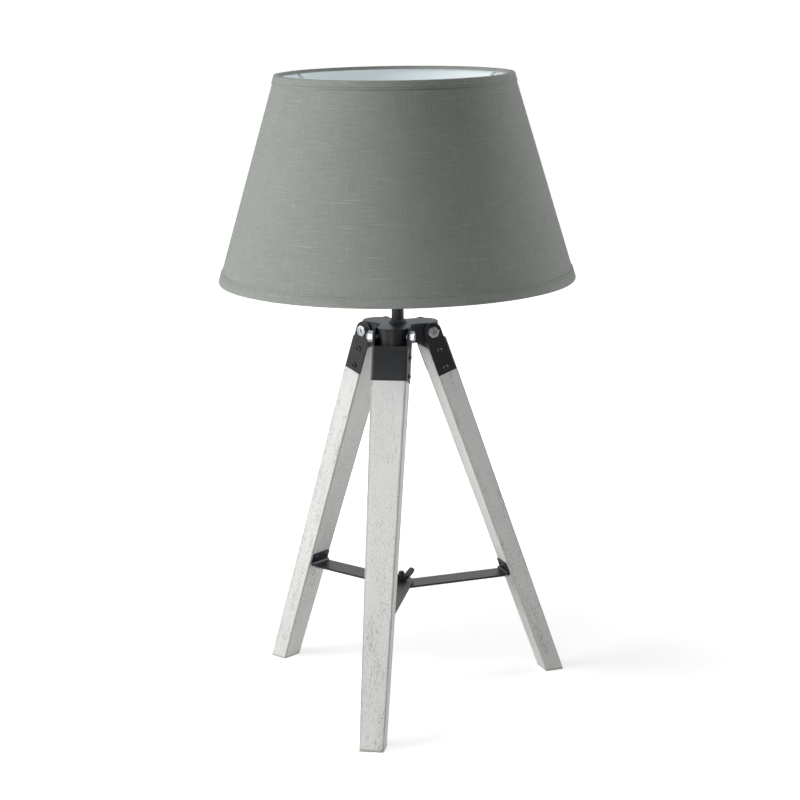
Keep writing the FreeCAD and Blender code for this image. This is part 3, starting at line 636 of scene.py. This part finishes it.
class LAMP_OT_shade_lining(bpy.types.Operator):
    """White film that backs the cloth"""
    bl_idname = "lamp.shade_lining"
    bl_label = "Shade lining"

    def execute(self, context):
        s = shade_sizes()
        lining = cone_wall("shade_lining_film", s.cloth, s.lining)
        dress(lining, "shade", "shade_lining", replaces=["shade_liner"])
        return {"FINISHED"}


class LAMP_OT_hems(bpy.types.Operator):
    """Hem tapes folded over the shade's two edges"""
    bl_idname = "lamp.hems"
    bl_label = "Shade hems"

    def execute(self, context):
        s = shade_sizes()
        bottom, top = shade_levels()
        inward = s.cloth + s.lining + 2 * s.wire + s.tape
        for name, level, up, height, node in (
                ("hem_bottom", bottom, 1, s.bottom_hem, "shade_tape_bottom"),
                ("hem_top", top, -1, s.top_hem, "shade_tape_top")):
            edge = level + up * height
            stitch = level + up * (height - 1.6 * MM)
            outer = [(cloth_radius(edge), edge), (cloth_radius(edge) + s.tape, edge + up * 0.05 * MM),
                     (cloth_radius(edge - up * 0.5 * MM) + s.tape * 1.15, edge - up * 0.5 * MM),
                     (cloth_radius(stitch + up * 0.5 * MM) + s.tape, stitch + up * 0.5 * MM),
                     (cloth_radius(stitch) + s.tape * 0.3, stitch),
                     (cloth_radius(stitch - up * 0.5 * MM) + s.tape, stitch - up * 0.5 * MM),
                     (cloth_radius(level + up * 0.7 * MM) + s.tape * 1.1, level + up * 0.7 * MM),
                     (cloth_radius(level) + s.tape * 0.5, level - up * s.tape * 0.8),
                     (cloth_radius(level) - inward * 0.5, level - up * s.tape),
                     (cloth_radius(level) - inward + 0.5 * MM, level - up * s.tape),
                     (cloth_radius(level) - inward, level - up * s.tape * 0.2),
                     (cloth_radius(level) - inward, level + up * 2.2 * MM),
                     (cloth_radius(level) - inward + 0.4 * MM, level + up * 2.2 * MM),
                     (cloth_radius(level) - inward + 0.4 * MM, level), (cloth_radius(level), level)]
            tape = spun(name, outer, 240)
            wrap(tape, s.bottom_radius if up > 0 else s.top_radius)
            dress(smooth(tape, 50), "shade", "hem_tape", replaces=[node])
        return {"FINISHED"}


class LAMP_OT_wire_carrier(bpy.types.Operator):
    """Wire rings, the three arms and the flat ring that the lamp holder carries"""
    bl_idname = "lamp.wire_carrier"
    bl_label = "Wire carrier"

    def execute(self, context):
        s = shade_sizes()
        bottom, top = shade_levels()
        wall = s.cloth + s.lining + 0.1 * MM
        top_ring = s.top_radius - wall - s.wire
        deselect()
        bpy.ops.mesh.primitive_torus_add(major_radius=top_ring, minor_radius=s.wire, major_segments=180,
                                         minor_segments=12, location=(0, 0, top - s.wire))
        ring = started("top_ring")
        low, high = (corner.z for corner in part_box("shade_fitter"))
        plate = spun("plate", rounded_plate(FITTER_HOLE, FITTER_RIM, low, high, 0.4 * MM), 96)
        parts = [ring, plate]
        for count in range(3):
            parts.append(carrier_arm(s.arm_azimuth + count * 2 * math.pi / 3, top_ring, top - s.wire, high))
        carrier = joined("wire_carrier", parts)
        dress(smooth(carrier, 40), "shade", "white_wire",
              replaces=["shade_frame", "shade_fitter", "shade_wire_top"])
        low_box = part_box("shade_wire_bottom")
        deselect()
        bpy.ops.mesh.primitive_torus_add(major_radius=low_box[1].x - s.wire, minor_radius=s.wire,
                                         major_segments=220, minor_segments=12,
                                         location=(0, 0, low_box[0].z + s.wire))
        dress(smooth(started("wire_ring_bottom"), 40), "shade", "white_wire", replaces=["shade_wire_bottom"])
        return {"FINISHED"}


def rounded_plate(inner, outer, low, high, edge):
    return [(inner + edge, low), (outer - edge, low), (outer, low + edge), (outer, high - edge),
            (outer - edge, high), (inner + edge, high), (inner, high - edge), (inner, low + edge)]


def carrier_arm(azimuth, ring_radius, ring_height, foot_height):
    """One arm: from under the flat ring up and out to the top ring, its ends bent level and welded on."""
    s = shade_sizes()
    points = [(28.6 * MM, foot_height + 1.2 * MM), (30.4 * MM, foot_height + 1.6 * MM),
              (34.5 * MM, foot_height + 8 * MM),
              (ring_radius - 9 * MM, ring_height - 11 * MM), (ring_radius - 3 * MM, ring_height - 3.4 * MM),
              (ring_radius + 0.2 * MM, ring_height - 1.6 * MM)]
    curve = bpy.data.curves.new("arm", "CURVE")
    curve.dimensions = "3D"
    curve.bevel_depth = s.arm
    curve.bevel_resolution = 3
    curve.use_fill_caps = True
    curve.resolution_u = 6
    spline = curve.splines.new("NURBS")
    spline.points.add(len(points) - 1)
    for point, (radius, height) in zip(spline.points, points):
        point.co = (radius * math.cos(azimuth), radius * math.sin(azimuth), height, 1)
    spline.order_u = 3
    spline.use_endpoint_u = True
    arm = bpy.data.objects.new("arm", curve)
    bpy.context.scene.collection.objects.link(arm)
    deselect()
    bpy.context.view_layer.objects.active = arm
    arm.select_set(True)
    bpy.ops.object.convert(target="MESH")
    return tidy(bpy.context.object)


# ------------------------------------------------------------------ fasteners


def hexagon_blank(name, flats, height, crowned_bottom=False):
    """A hexagon prism from z 0 up, its corners turned off by a cone as on a real head or nut."""
    corner = flats / 2 / math.cos(math.pi / 6)
    blank = primitive("cylinder", name, vertices=6, radius=corner, depth=height,
                      location=(0, 0, height / 2))
    flat, slope = flats / 2 * 0.96, math.tan(math.radians(28))
    rise, wide = (corner - flat) * slope, corner + MM
    low = 0 if crowned_bottom else -0.5 * MM
    outline = [(0.0001 * MM, low)]
    outline += [(flat, 0), (wide, rise + MM * slope)] if crowned_bottom else [(wide, low)]
    outline += [(wide, height - rise - MM * slope), (flat, height), (0.0001 * MM, height)]
    return carve(blank, spun("turning", outline, 72), "INTERSECT")


def cross_cutter(height, reach, depth, width):
    """A tapered cross that a driver fits."""
    blades = []
    for turn in (0, math.pi / 2):
        blade = primitive("cube", "blade", size=1, location=(0, 0, 0))
        for vertex in blade.data.vertices:
            low = vertex.co.z < 0
            vertex.co.x *= (0.9 if low else 2.0) * reach
            vertex.co.y *= (0.8 if low else 1.15) * width
            vertex.co.z = height - depth if low else height + depth
        blades.append(moved(blade, Matrix.Rotation(turn, 4, "Z")))
    return carve(blades[0], blades[1], "UNION")


def shank(name, radius, low, high, thread_from, pitch=1.0 * MM):
    """A round shank; its lower end is chamfered and carries thread grooves up to thread_from."""
    outline = [(radius - 0.6 * MM, low), (radius - 0.05 * MM, low + 0.55 * MM)]
    level = low + 0.9 * MM
    while level + pitch < thread_from:
        outline += [(radius, level), (radius - 0.34 * MM, level + pitch * 0.5)]
        level += pitch
    outline += [(radius, level), (radius, high)]
    piece = primitive("circle", name, vertices=len(outline), radius=1, fill_type="NOTHING")
    for vertex, (across, height) in zip(piece.data.vertices, outline):
        vertex.co = (across, 0, height)
    with Editing(piece, "EDGE") as edit:
        edit.pick(lambda e: abs(e.verts[0].co.z - low) + abs(e.verts[1].co.z - high) < MM * 0.001
                  or abs(e.verts[1].co.z - low) + abs(e.verts[0].co.z - high) < MM * 0.001)
        bpy.ops.mesh.delete(type="EDGE")
        bpy.ops.mesh.select_all(action="SELECT")
        bpy.ops.mesh.spin(steps=32, angle=2 * math.pi, center=(0, 0, 0), axis=(0, 0, 1))
    with Editing(piece, "EDGE") as edit:
        edit.pick_all()
        bpy.ops.mesh.remove_doubles(threshold=0.000001)
        bpy.ops.mesh.select_all(action="DESELECT")
        bpy.ops.mesh.select_non_manifold(extend=False)
        bpy.ops.mesh.fill_holes(sides=0)
    return tidy(piece)


def cross_head_bolt(name):
    """Hexagon head with a driver's cross, from the bracket's outer face out along Z."""
    s = fastener_sizes()
    head = hexagon_blank(name, s.flats, s.head)
    with Editing(head) as edit:
        edit.pick(lambda face: face.normal.z > 0.99 and face.calc_center_median().z > s.head * 0.9)
        bpy.ops.mesh.inset(thickness=0.9 * MM)
        bpy.ops.mesh.inset(thickness=0.35 * MM, depth=-0.35 * MM)
    carve(head, cross_cutter(s.head, 3.0 * MM, 2.2 * MM, 1.4 * MM))
    return head


def washer(name, inner, outer, thickness):
    return spun(name, rounded_plate(inner, outer, 0, thickness, 0.15 * MM), 48)


def nut(name):
    s = fastener_sizes()
    blank = hexagon_blank(name, s.flats, s.nut, True)
    bore = spun("bore", [(0.0001 * MM, -MM), (s.shank + 1.3 * MM, -MM), (s.shank + 0.02 * MM, 0.5 * MM),
                         (s.shank + 0.02 * MM, s.nut - 0.5 * MM), (s.shank + 1.3 * MM, s.nut + MM),
                         (0.0001 * MM, s.nut + MM)], 32)
    return carve(blank, bore)


class LAMP_OT_hinge_bolts(bpy.types.Operator):
    """Hinge bolts with their washers and nuts"""
    bl_idname = "lamp.hinge_bolts"
    bl_label = "Hinge bolts"

    def execute(self, context):
        s = fastener_sizes()
        half = BRACKET_HALF
        length_under = 2 * half + s.washer_thickness + s.nut + 1.6 * MM
        bolt = joined("bolt", [cross_head_bolt("bolt"),
                               shank("shank", s.shank, -length_under, 0.2 * MM, -2 * half + 4 * MM)])
        plain_nut = nut("nut")
        ring = washer("washer", s.shank + 0.2 * MM, s.washer, s.washer_thickness)
        for count, (leg, azimuth) in enumerate(LEGS.items()):
            place = hinge_frame(azimuth) @ Matrix.Rotation(math.radians(-90 * BOLT_SIDE[leg]), 4, "X")
            spin = Matrix.Rotation(math.radians((11, 37, 24)[count]), 4, "Z")
            for piece, name, rise, node in (
                    (bolt, "cross_head_bolt_", half, "hinge_bolt_"),
                    (ring, "plain_washer_", -half - s.washer_thickness, "hinge_washer_"),
                    (plain_nut, "plain_nut_", -half - s.washer_thickness - s.nut, "hinge_nut_")):
                made = copy_of(piece, name + leg, place @ Matrix.Translation((0, 0, rise)) @ spin)
                dress(smooth(made, 30), "tripod", "zinc_steel", replaces=[node + leg])
        for piece in (bolt, plain_nut, ring):
            bpy.data.objects.remove(piece)
        return {"FINISHED"}


def button_screw(name):
    """Domed head with a hexagon socket."""
    s = fastener_sizes()
    radius, height = s.button, s.button_height
    outline = [(0.0001 * MM, 0), (radius * 0.98, 0), (radius, height * 0.12), (radius, height * 0.3)]
    outline += [(radius * math.cos(math.radians(a)), height * (0.3 + 0.7 * math.sin(math.radians(a))))
                for a in (20, 38, 54)]
    outline += [(radius * 0.5, height), (0.0001 * MM, height)]
    head = spun(name, outline, 40)
    socket = primitive("cylinder", "socket", vertices=6, radius=radius * 0.5, depth=height * 1.5,
                       location=(0, 0, height))
    return carve(head, socket)


class LAMP_OT_small_screws(bpy.types.Operator):
    """Bracket screws"""
    bl_idname = "lamp.small_screws"
    bl_label = "Small screws"

    def execute(self, context):
        button = button_screw("button")
        for leg, azimuth in LEGS.items():
            side = BOLT_SIDE[leg]
            out = Matrix.Rotation(math.radians(-90 * side), 4, "X")
            screws = []
            for count, drop in enumerate(SCREW_DROPS):
                place = hinge_frame(azimuth) @ Matrix.Translation((0, side * BRACKET_HALF, -drop)) @ out
                screws.append(copy_of(button, "screw", place @ Matrix.Rotation(0.3 + count, 4, "Z")))
            whole = joined("socket_screws_" + leg, screws)
            dress(smooth(whole, 35), "tripod", "screw_steel", replaces=["bracket_screws_" + leg])
        bpy.data.objects.remove(button)
        return {"FINISHED"}


class LAMP_OT_spreader_fastener(bpy.types.Operator):
    """Bolt through the stacked bars and the pressed wing nut that clamps them"""
    bl_idname = "lamp.spreader_fastener"
    bl_label = "Spreader bolt and wing nut"

    def execute(self, context):
        s = fastener_sizes()
        low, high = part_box("spreader_bolt")
        head = hexagon_blank("centre_bolt", s.flats, s.head)
        under = high.z - low.z - s.head
        stem = shank("shank", s.shank, -under, 0.2 * MM, -8 * MM)
        bolt = joined("centre_bolt", [head, stem])
        moved(bolt, Matrix.Translation((0, 0, low.z + s.head)) @ Matrix.Rotation(math.pi, 4, "X"))
        dress(smooth(bolt, 30), "tripod", "black_metal", replaces=["spreader_bolt"])
        ring_low, ring_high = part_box("spreader_washer")
        flat = washer("centre_washer", s.shank + 0.2 * MM, s.washer, ring_high.z - ring_low.z)
        moved(flat, Matrix.Translation((0, 0, ring_low.z)))
        dress(smooth(flat, 30), "tripod", "black_metal", replaces=["spreader_washer"])
        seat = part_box("wing_nut")[0].z
        bore = s.shank + 0.1 * MM
        boss = spun("wing_nut_pressed", [
            (bore, 0.4 * MM), (bore + 0.4 * MM, 0), (5.0 * MM, 0), (5.3 * MM, 0.3 * MM), (4.9 * MM, 3.6 * MM),
            (4.5 * MM, 4.7 * MM), (4.0 * MM, 5.0 * MM), (bore + 0.4 * MM, 5.0 * MM), (bore, 4.6 * MM)], 48)
        tabs = [self.tab(turn) for turn in (0, math.pi)]
        whole = joined("wing_nut_pressed", [boss] + tabs)
        moved(whole, Matrix.Translation((0, 0, seat)) @ Matrix.Rotation(math.radians(WING_TURN), 4, "Z"))
        dress(smooth(whole, 40), "wing_nut", "black_metal", replaces=["wing_nut"])
        return {"FINISHED"}

    def tab(self, turn):
        """One ear: a strip that leaves the boss level, bends up and ends in a rounded corner."""
        ear = primitive("grid", "ear", x_subdivisions=14, y_subdivisions=8, size=1)
        for vertex in ear.data.vertices:
            along, across = vertex.co.x + 0.5, vertex.co.y * 2
            width = 5.0 * MM * (1 - 0.20 * max(0.0, along - 0.72) ** 2 / 0.078 * abs(across))
            reach = 3.9 * MM + along * 9.0 * MM
            rise = 0.9 * MM + 8.6 * MM * along ** 1.25
            tip = max(0.0, abs(across) - 0.6) / 0.4
            reach -= tip ** 2 * max(0.0, along - 0.7) * 3.5 * MM
            rise -= tip ** 2 * max(0.0, along - 0.7) * 3.5 * MM
            vertex.co = (reach, across * width, rise)
        modify(ear, "SOLIDIFY", thickness=1.5 * MM, offset=0)
        modify(ear, "BEVEL", width=0.35 * MM, segments=2, limit_method="ANGLE")
        return moved(tidy(ear), Matrix.Rotation(turn, 4, "Z"))


class LAMP_OT_leaf_hinges(bpy.types.Operator):
    """Small hinges that hold the spreader's bars to the legs"""
    bl_idname = "lamp.leaf_hinges"
    bl_label = "Leaf hinges"

    def execute(self, context):
        barrel, middle, gap, thick = 2.3 * MM, 11 * MM, 0.3 * MM, 1.5 * MM
        screw = button_screw("leaf_button")
        moved(screw, Matrix.Diagonal((0.8, 0.8, 1.1 / 1.8, 1)))
        for leg, azimuth in LEGS.items():
            low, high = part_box("spreader_pin_" + leg)
            centre = (low + high) / 2
            place = (Matrix.Rotation(math.radians(azimuth), 4, "Z")
                     @ Matrix.Translation((math.hypot(centre.x, centre.y), 0, centre.z))
                     @ Matrix.Rotation(math.radians(-LEAF_LEAN), 4, "Y"))
            half = self.half_width(leg)
            plate = primitive("cube", "leaf", size=1)
            for vertex in plate.data.vertices:
                vertex.co = (barrel - thick if vertex.co.x < 0 else barrel, vertex.co.y * 2 * half,
                             0 if vertex.co.z < 0 else 11.5 * MM)
            with Editing(plate, "EDGE") as edit:
                edit.pick(lambda e: abs(e.verts[0].co.x - e.verts[1].co.x) > MM and e.verts[0].co.z > 10 * MM)
                bpy.ops.mesh.bevel(offset=2 * MM, segments=5, affect="EDGES")
            modify(plate, "BEVEL", width=0.2 * MM, segments=2, limit_method="ANGLE")
            side = half - middle / 2 - gap
            parts = [plate]
            for sign in (-1, 1):
                knuckle = spun("knuckle", rounded_plate(1.25 * MM, barrel, -side / 2, side / 2, 0.2 * MM), 28)
                parts.append(moved(knuckle, Matrix.Translation((0, sign * (half - side / 2), 0))
                                   @ Matrix.Rotation(math.pi / 2, 4, "X")))
            leaf = joined("hinge_leaf_" + leg, parts)
            dress(smooth(moved(leaf, place), 30), "tripod", "black_metal", replaces=["spreader_leaf_" + leg])
            pin = spun("hinge_pin_" + leg, [(0, -half), (0.8 * MM, -half), (1.15 * MM, -half + 0.3 * MM),
                                            (1.15 * MM, half - 0.3 * MM), (0.8 * MM, half), (0, half)], 20)
            moved(pin, place @ Matrix.Rotation(math.pi / 2, 4, "X"))
            dress(smooth(pin, 30), "tripod", "black_metal", replaces=["spreader_pin_" + leg])
            screws = [copy_of(screw, "screw", place
                              @ Matrix.Translation((barrel - thick, sign * 7 * MM, 7 * MM))
                              @ Matrix.Rotation(-math.pi / 2, 4, "Y") @ Matrix.Rotation(0.5 + sign, 4, "Z"))
                      for sign in (-1, 1)]
            pair = joined("leaf_screw_heads_" + leg, screws)
            dress(smooth(pair, 35), "tripod", "screw_steel", replaces=["leaf_screws_" + leg])
        bpy.data.objects.remove(screw)
        return {"FINISHED"}

    def half_width(self, leg):
        """Half the pin's length, from its box: a pin lies level, across its leg."""
        low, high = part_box("spreader_pin_" + leg)
        if leg == "front":
            return (high.x - low.x) / 2
        # the other two lie aslant in their boxes, which hold the round ends' width as well
        ends = 1.2 * MM
        return (high.y - low.y - ends) / 2 / abs(math.sin(math.radians(LEGS[leg] + 90)))


# ------------------------------------------------------------------ lamp holder


class LAMP_OT_holder_thread(bpy.types.Operator):
    """Threaded sleeve of the lamp holder and the ribbed ring that runs on it"""
    bl_idname = "lamp.holder_thread"
    bl_label = "Lamp holder's thread"

    def execute(self, context):
        low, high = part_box("lampholder_sleeve")
        socket, outer, shoulder = 13.4 * MM, 20 * MM, 23 * MM
        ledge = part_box("shade_fitter")[0].z
        outline = [(socket, low.z), (outer, low.z), (outer, ledge - 3 * MM),
                   (shoulder - 0.5 * MM, ledge - 3 * MM), (shoulder, ledge - 2.5 * MM),
                   (shoulder, ledge - 0.4 * MM), (shoulder - 0.4 * MM, ledge), (outer - 0.6 * MM, ledge)]
        level, pitch = ledge + 0.6 * MM, 2.2 * MM
        while level + pitch < high.z - MM:
            outline += [(outer - 0.6 * MM, level), (outer - 0.05 * MM, level + pitch * 0.3),
                        (outer - 0.05 * MM, level + pitch * 0.5), (outer - 0.6 * MM, level + pitch * 0.8)]
            level += pitch
        outline += [(outer - 0.6 * MM, high.z - 0.6 * MM), (outer - 1.2 * MM, high.z),
                    (socket + 0.6 * MM, high.z), (socket, high.z - 0.6 * MM)]
        sleeve = spun("threaded_sleeve", outline, 96)
        dress(smooth(sleeve, 35), "tripod", "holder_plastic", replaces=["lampholder_sleeve"])
        low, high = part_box("shade_ring")
        inner, rim = 20.4 * MM, high.x
        ring = spun("ribbed_ring", [
            (inner, low.z + 0.4 * MM), (inner + 0.4 * MM, low.z), (rim - 0.5 * MM, low.z),
            (rim, low.z + 0.5 * MM), (rim, high.z - 2.2 * MM), (rim - 0.4 * MM, high.z - 1.6 * MM),
            (rim - 2 * MM, high.z), (inner + 0.6 * MM, high.z), (inner, high.z - 0.6 * MM)], 120)
        for vertex in ring.data.vertices:
            radius = math.hypot(vertex.co.x, vertex.co.y)
            if radius > rim - 0.1 * MM:
                step = round(math.atan2(vertex.co.y, vertex.co.x) / (2 * math.pi) * 120)
                if step % 4 in (0, 1):
                    vertex.co.x *= (rim - 0.6 * MM) / rim
                    vertex.co.y *= (rim - 0.6 * MM) / rim
        dress(smooth(ring, 35), "shade_ring", "holder_plastic", replaces=["shade_ring"])
        return {"FINISHED"}


# ------------------------------------------------------------------ carried-over pieces


class LAMP_OT_cad_finishes(bpy.types.Operator):
    """Finishes for the pieces whose own shape is right"""
    bl_idname = "lamp.cad_finishes"
    bl_label = "Finishes"

    def execute(self, context):
        slots = {part["node"]: part["material_slot"] for part in frame["record"]["subparts"]}
        for name, node in NODES.items():
            finish = slots[name]
            if finish == "whitewashed_wood":
                finish += " " + name.split("_")[-1]
            material = finish_named(finish)
            node.data.materials.clear()
            node.data.materials.append(material)
        return {"FINISHED"}


# ------------------------------------------------------------------ stage

# the camera as worked out from the photograph: lens in millimetres, places in metres, angles in degrees
CAMERA = {"lens": 92.365, "distance": 2.0036, "height": 0.7514, "pitch": 12.591, "roll": -0.826,
          "yaw": 0.029, "turn": 10.27}


# soft lights: name, azimuth from the camera (to its right when positive), elevation, distance, width, watts
LIGHTS = (
    ("key", -76, 20, 2.6, 1.8, 57),
    ("front", -28, 48, 2.6, 1.8, 14),
    ("rim", 112, 14, 2.6, 1.8, 39),
)
# a narrow beam on the legs: azimuth, elevation, distance, width, watts, spread and aim
LEG_BEAM = ("leg beam", -14, 6, 1.9, 0.5, 0.19)
BEAM_SPREAD, BEAM_AIM, LAMP_AIM = 20, 0.16, 0.35
AMBIENT = 0.03
# white backdrop behind the lamp and a dim studio in front of it, as gloss sees them
BACKDROP_GLOSS, STUDIO_GLOSS = 0.85, 0.12
FLOOR_GLOW = 0.52
FLOOR_NEAR, FLOOR_FAR = 0.25, 0.75


class LAMP_OT_stage(bpy.types.Operator):
    """Floor, lights, world and the photograph's camera"""
    bl_idname = "lamp.stage"
    bl_label = "Stage"

    def execute(self, context):
        self.camera(context)
        self.floor()
        self.world(context)
        for name, azimuth, elevation, distance, width, power in LIGHTS:
            self.lamp(name, azimuth, elevation, distance, width, power)
        beam = self.lamp(*LEG_BEAM, aim=BEAM_AIM)
        beam.spread = math.radians(BEAM_SPREAD)
        return {"FINISHED"}

    def camera(self, context):
        turn, pitch = math.radians(CAMERA["turn"]), math.radians(CAMERA["pitch"])
        yaw, roll = math.radians(CAMERA["yaw"]), math.radians(CAMERA["roll"])
        forward = Vector((math.sin(yaw) * math.cos(pitch), math.cos(yaw) * math.cos(pitch), -math.sin(pitch)))
        right = Vector((math.cos(yaw), -math.sin(yaw), 0))
        up = right.cross(forward)
        across = math.cos(roll) * right + math.sin(roll) * up
        above = -math.sin(roll) * right + math.cos(roll) * up
        view = Matrix((across, above, -forward)).transposed().to_4x4()
        stand = Matrix.Translation((0, -CAMERA["distance"], CAMERA["height"]))
        place = Matrix.Rotation(turn, 4, "Z") @ stand @ view
        data = bpy.data.cameras.new("camera")
        data.lens = CAMERA["lens"]
        data.sensor_width = 36
        eye = bpy.data.objects.new("camera", data)
        context.scene.collection.objects.link(eye)
        eye.matrix_world = place
        context.scene.camera = eye

    def lamp(self, name, azimuth, elevation, distance, width, power, aim=LAMP_AIM):
        """A soft light; azimuth is counted from the camera, to the right of it when positive."""
        data = bpy.data.lights.new(name, "AREA")
        data.shape = "SQUARE"
        data.size = width
        data.energy = power
        light = bpy.data.objects.new(name, data)
        bpy.context.scene.collection.objects.link(light)
        a = math.radians(azimuth + CAMERA["turn"])
        e = math.radians(elevation)
        out = Vector((math.sin(a) * math.cos(e), -math.cos(a) * math.cos(e), math.sin(e)))
        light.location = out * distance + Vector((0, 0, aim))
        light.rotation_mode = "QUATERNION"
        light.rotation_quaternion = out.to_track_quat("Z", "Y")
        return data

    def floor(self):
        ground = primitive("grid", "floor", x_subdivisions=8, y_subdivisions=8, size=60,
                           location=(0, 0, -0.00005))
        f = Finish("Pale floor")
        shade = f.noise(f.place(), 3, 2)
        matt = f.add("BsdfPrincipled", None, Base_Color=f.tinted(finishes().floor, 0.99 + shade * 0.02),
                     Roughness=0.9, Specular_IOR_Level=0.1)
        x, y, z = f.parts(f.place())
        far = ((x ** 2 + y ** 2) ** 0.5).ramp(FLOOR_NEAR, FLOOR_FAR, FLOOR_GLOW, 1.0)
        glow = f.add("Emission", None, (1, 1, 1, 1), far)
        path = f.tree.nodes.new("ShaderNodeLightPath")
        seen = Wire(f, path.outputs["Is Camera Ray"])
        both = f.add("AddShader", None, matt, glow)
        f.add("OutputMaterial", None, f.add("MixShader", None, seen, matt, both))
        ground.data.materials.append(f.material)

    def world(self, context):
        world = bpy.data.worlds.new("studio")
        context.scene.world = world
        world.use_nodes = True
        tree = world.node_tree
        tree.nodes.clear()
        f = Finish("Studio", tree)
        path = tree.nodes.new("ShaderNodeLightPath")
        camera, glossy, through = (Wire(f, path.outputs["Is %s Ray" % kind])
                                   for kind in ("Camera", "Glossy", "Transmission"))
        x, y, z = f.parts(f.add("TexCoord", out="Generated"))
        mirrored = f.maths("MAXIMUM", glossy, through) * y.ramp(-0.35, 0.35, STUDIO_GLOSS, BACKDROP_GLOSS)
        strength = f.maths("MAXIMUM", f.maths("MAXIMUM", camera, mirrored), AMBIENT)
        back = tree.nodes.new("ShaderNodeBackground")
        back.inputs["Color"].default_value = (1, 1, 1, 1)
        tree.links.new(strength.socket, back.inputs["Strength"])
        out = tree.nodes.new("ShaderNodeOutputWorld")
        tree.links.new(back.outputs[0], out.inputs["Surface"])
        context.scene.view_settings.view_transform = "Standard"


# ------------------------------------------------------------------ add-on


class LAMP_PT_panel(bpy.types.Panel):
    """Builds the lamp's pieces one by one"""
    bl_label = "Tripod table lamp"
    bl_idname = "LAMP_PT_panel"
    bl_space_type = "VIEW_3D"
    bl_region_type = "UI"
    bl_category = "Lamp"

    def draw(self, context):
        for operator in STEPS:
            self.layout.operator(operator.bl_idname)
        for group in (shade_sizes(), fastener_sizes(), finishes()):
            column = self.layout.column()
            for name in group.bl_rna.properties.keys():
                if name not in ("rna_type", "name"):
                    column.prop(group, name)


STEPS = (LAMP_OT_stage, LAMP_OT_cad_finishes, LAMP_OT_shade_cloth, LAMP_OT_shade_lining, LAMP_OT_hems,
         LAMP_OT_wire_carrier, LAMP_OT_hinge_bolts, LAMP_OT_small_screws, LAMP_OT_spreader_fastener,
         LAMP_OT_leaf_hinges, LAMP_OT_holder_thread)
CLASSES = (ShadeSizes, FastenerSizes, Finishes) + STEPS + (LAMP_PT_panel,)


def register():
    for kind in CLASSES:
        bpy.utils.register_class(kind)
    bpy.types.Scene.lamp_shade = PointerProperty(type=ShadeSizes)
    bpy.types.Scene.lamp_fasteners = PointerProperty(type=FastenerSizes)
    bpy.types.Scene.lamp_finishes = PointerProperty(type=Finishes)


def unregister():
    del bpy.types.Scene.lamp_shade
    del bpy.types.Scene.lamp_fasteners
    del bpy.types.Scene.lamp_finishes
    for kind in reversed(CLASSES):
        bpy.utils.unregister_class(kind)


def main():
    register()
    for step in STEPS:
        group, name = step.bl_idname.split(".")
        getattr(getattr(bpy.ops, group), name)()


if __name__ == "__main__":
    main()
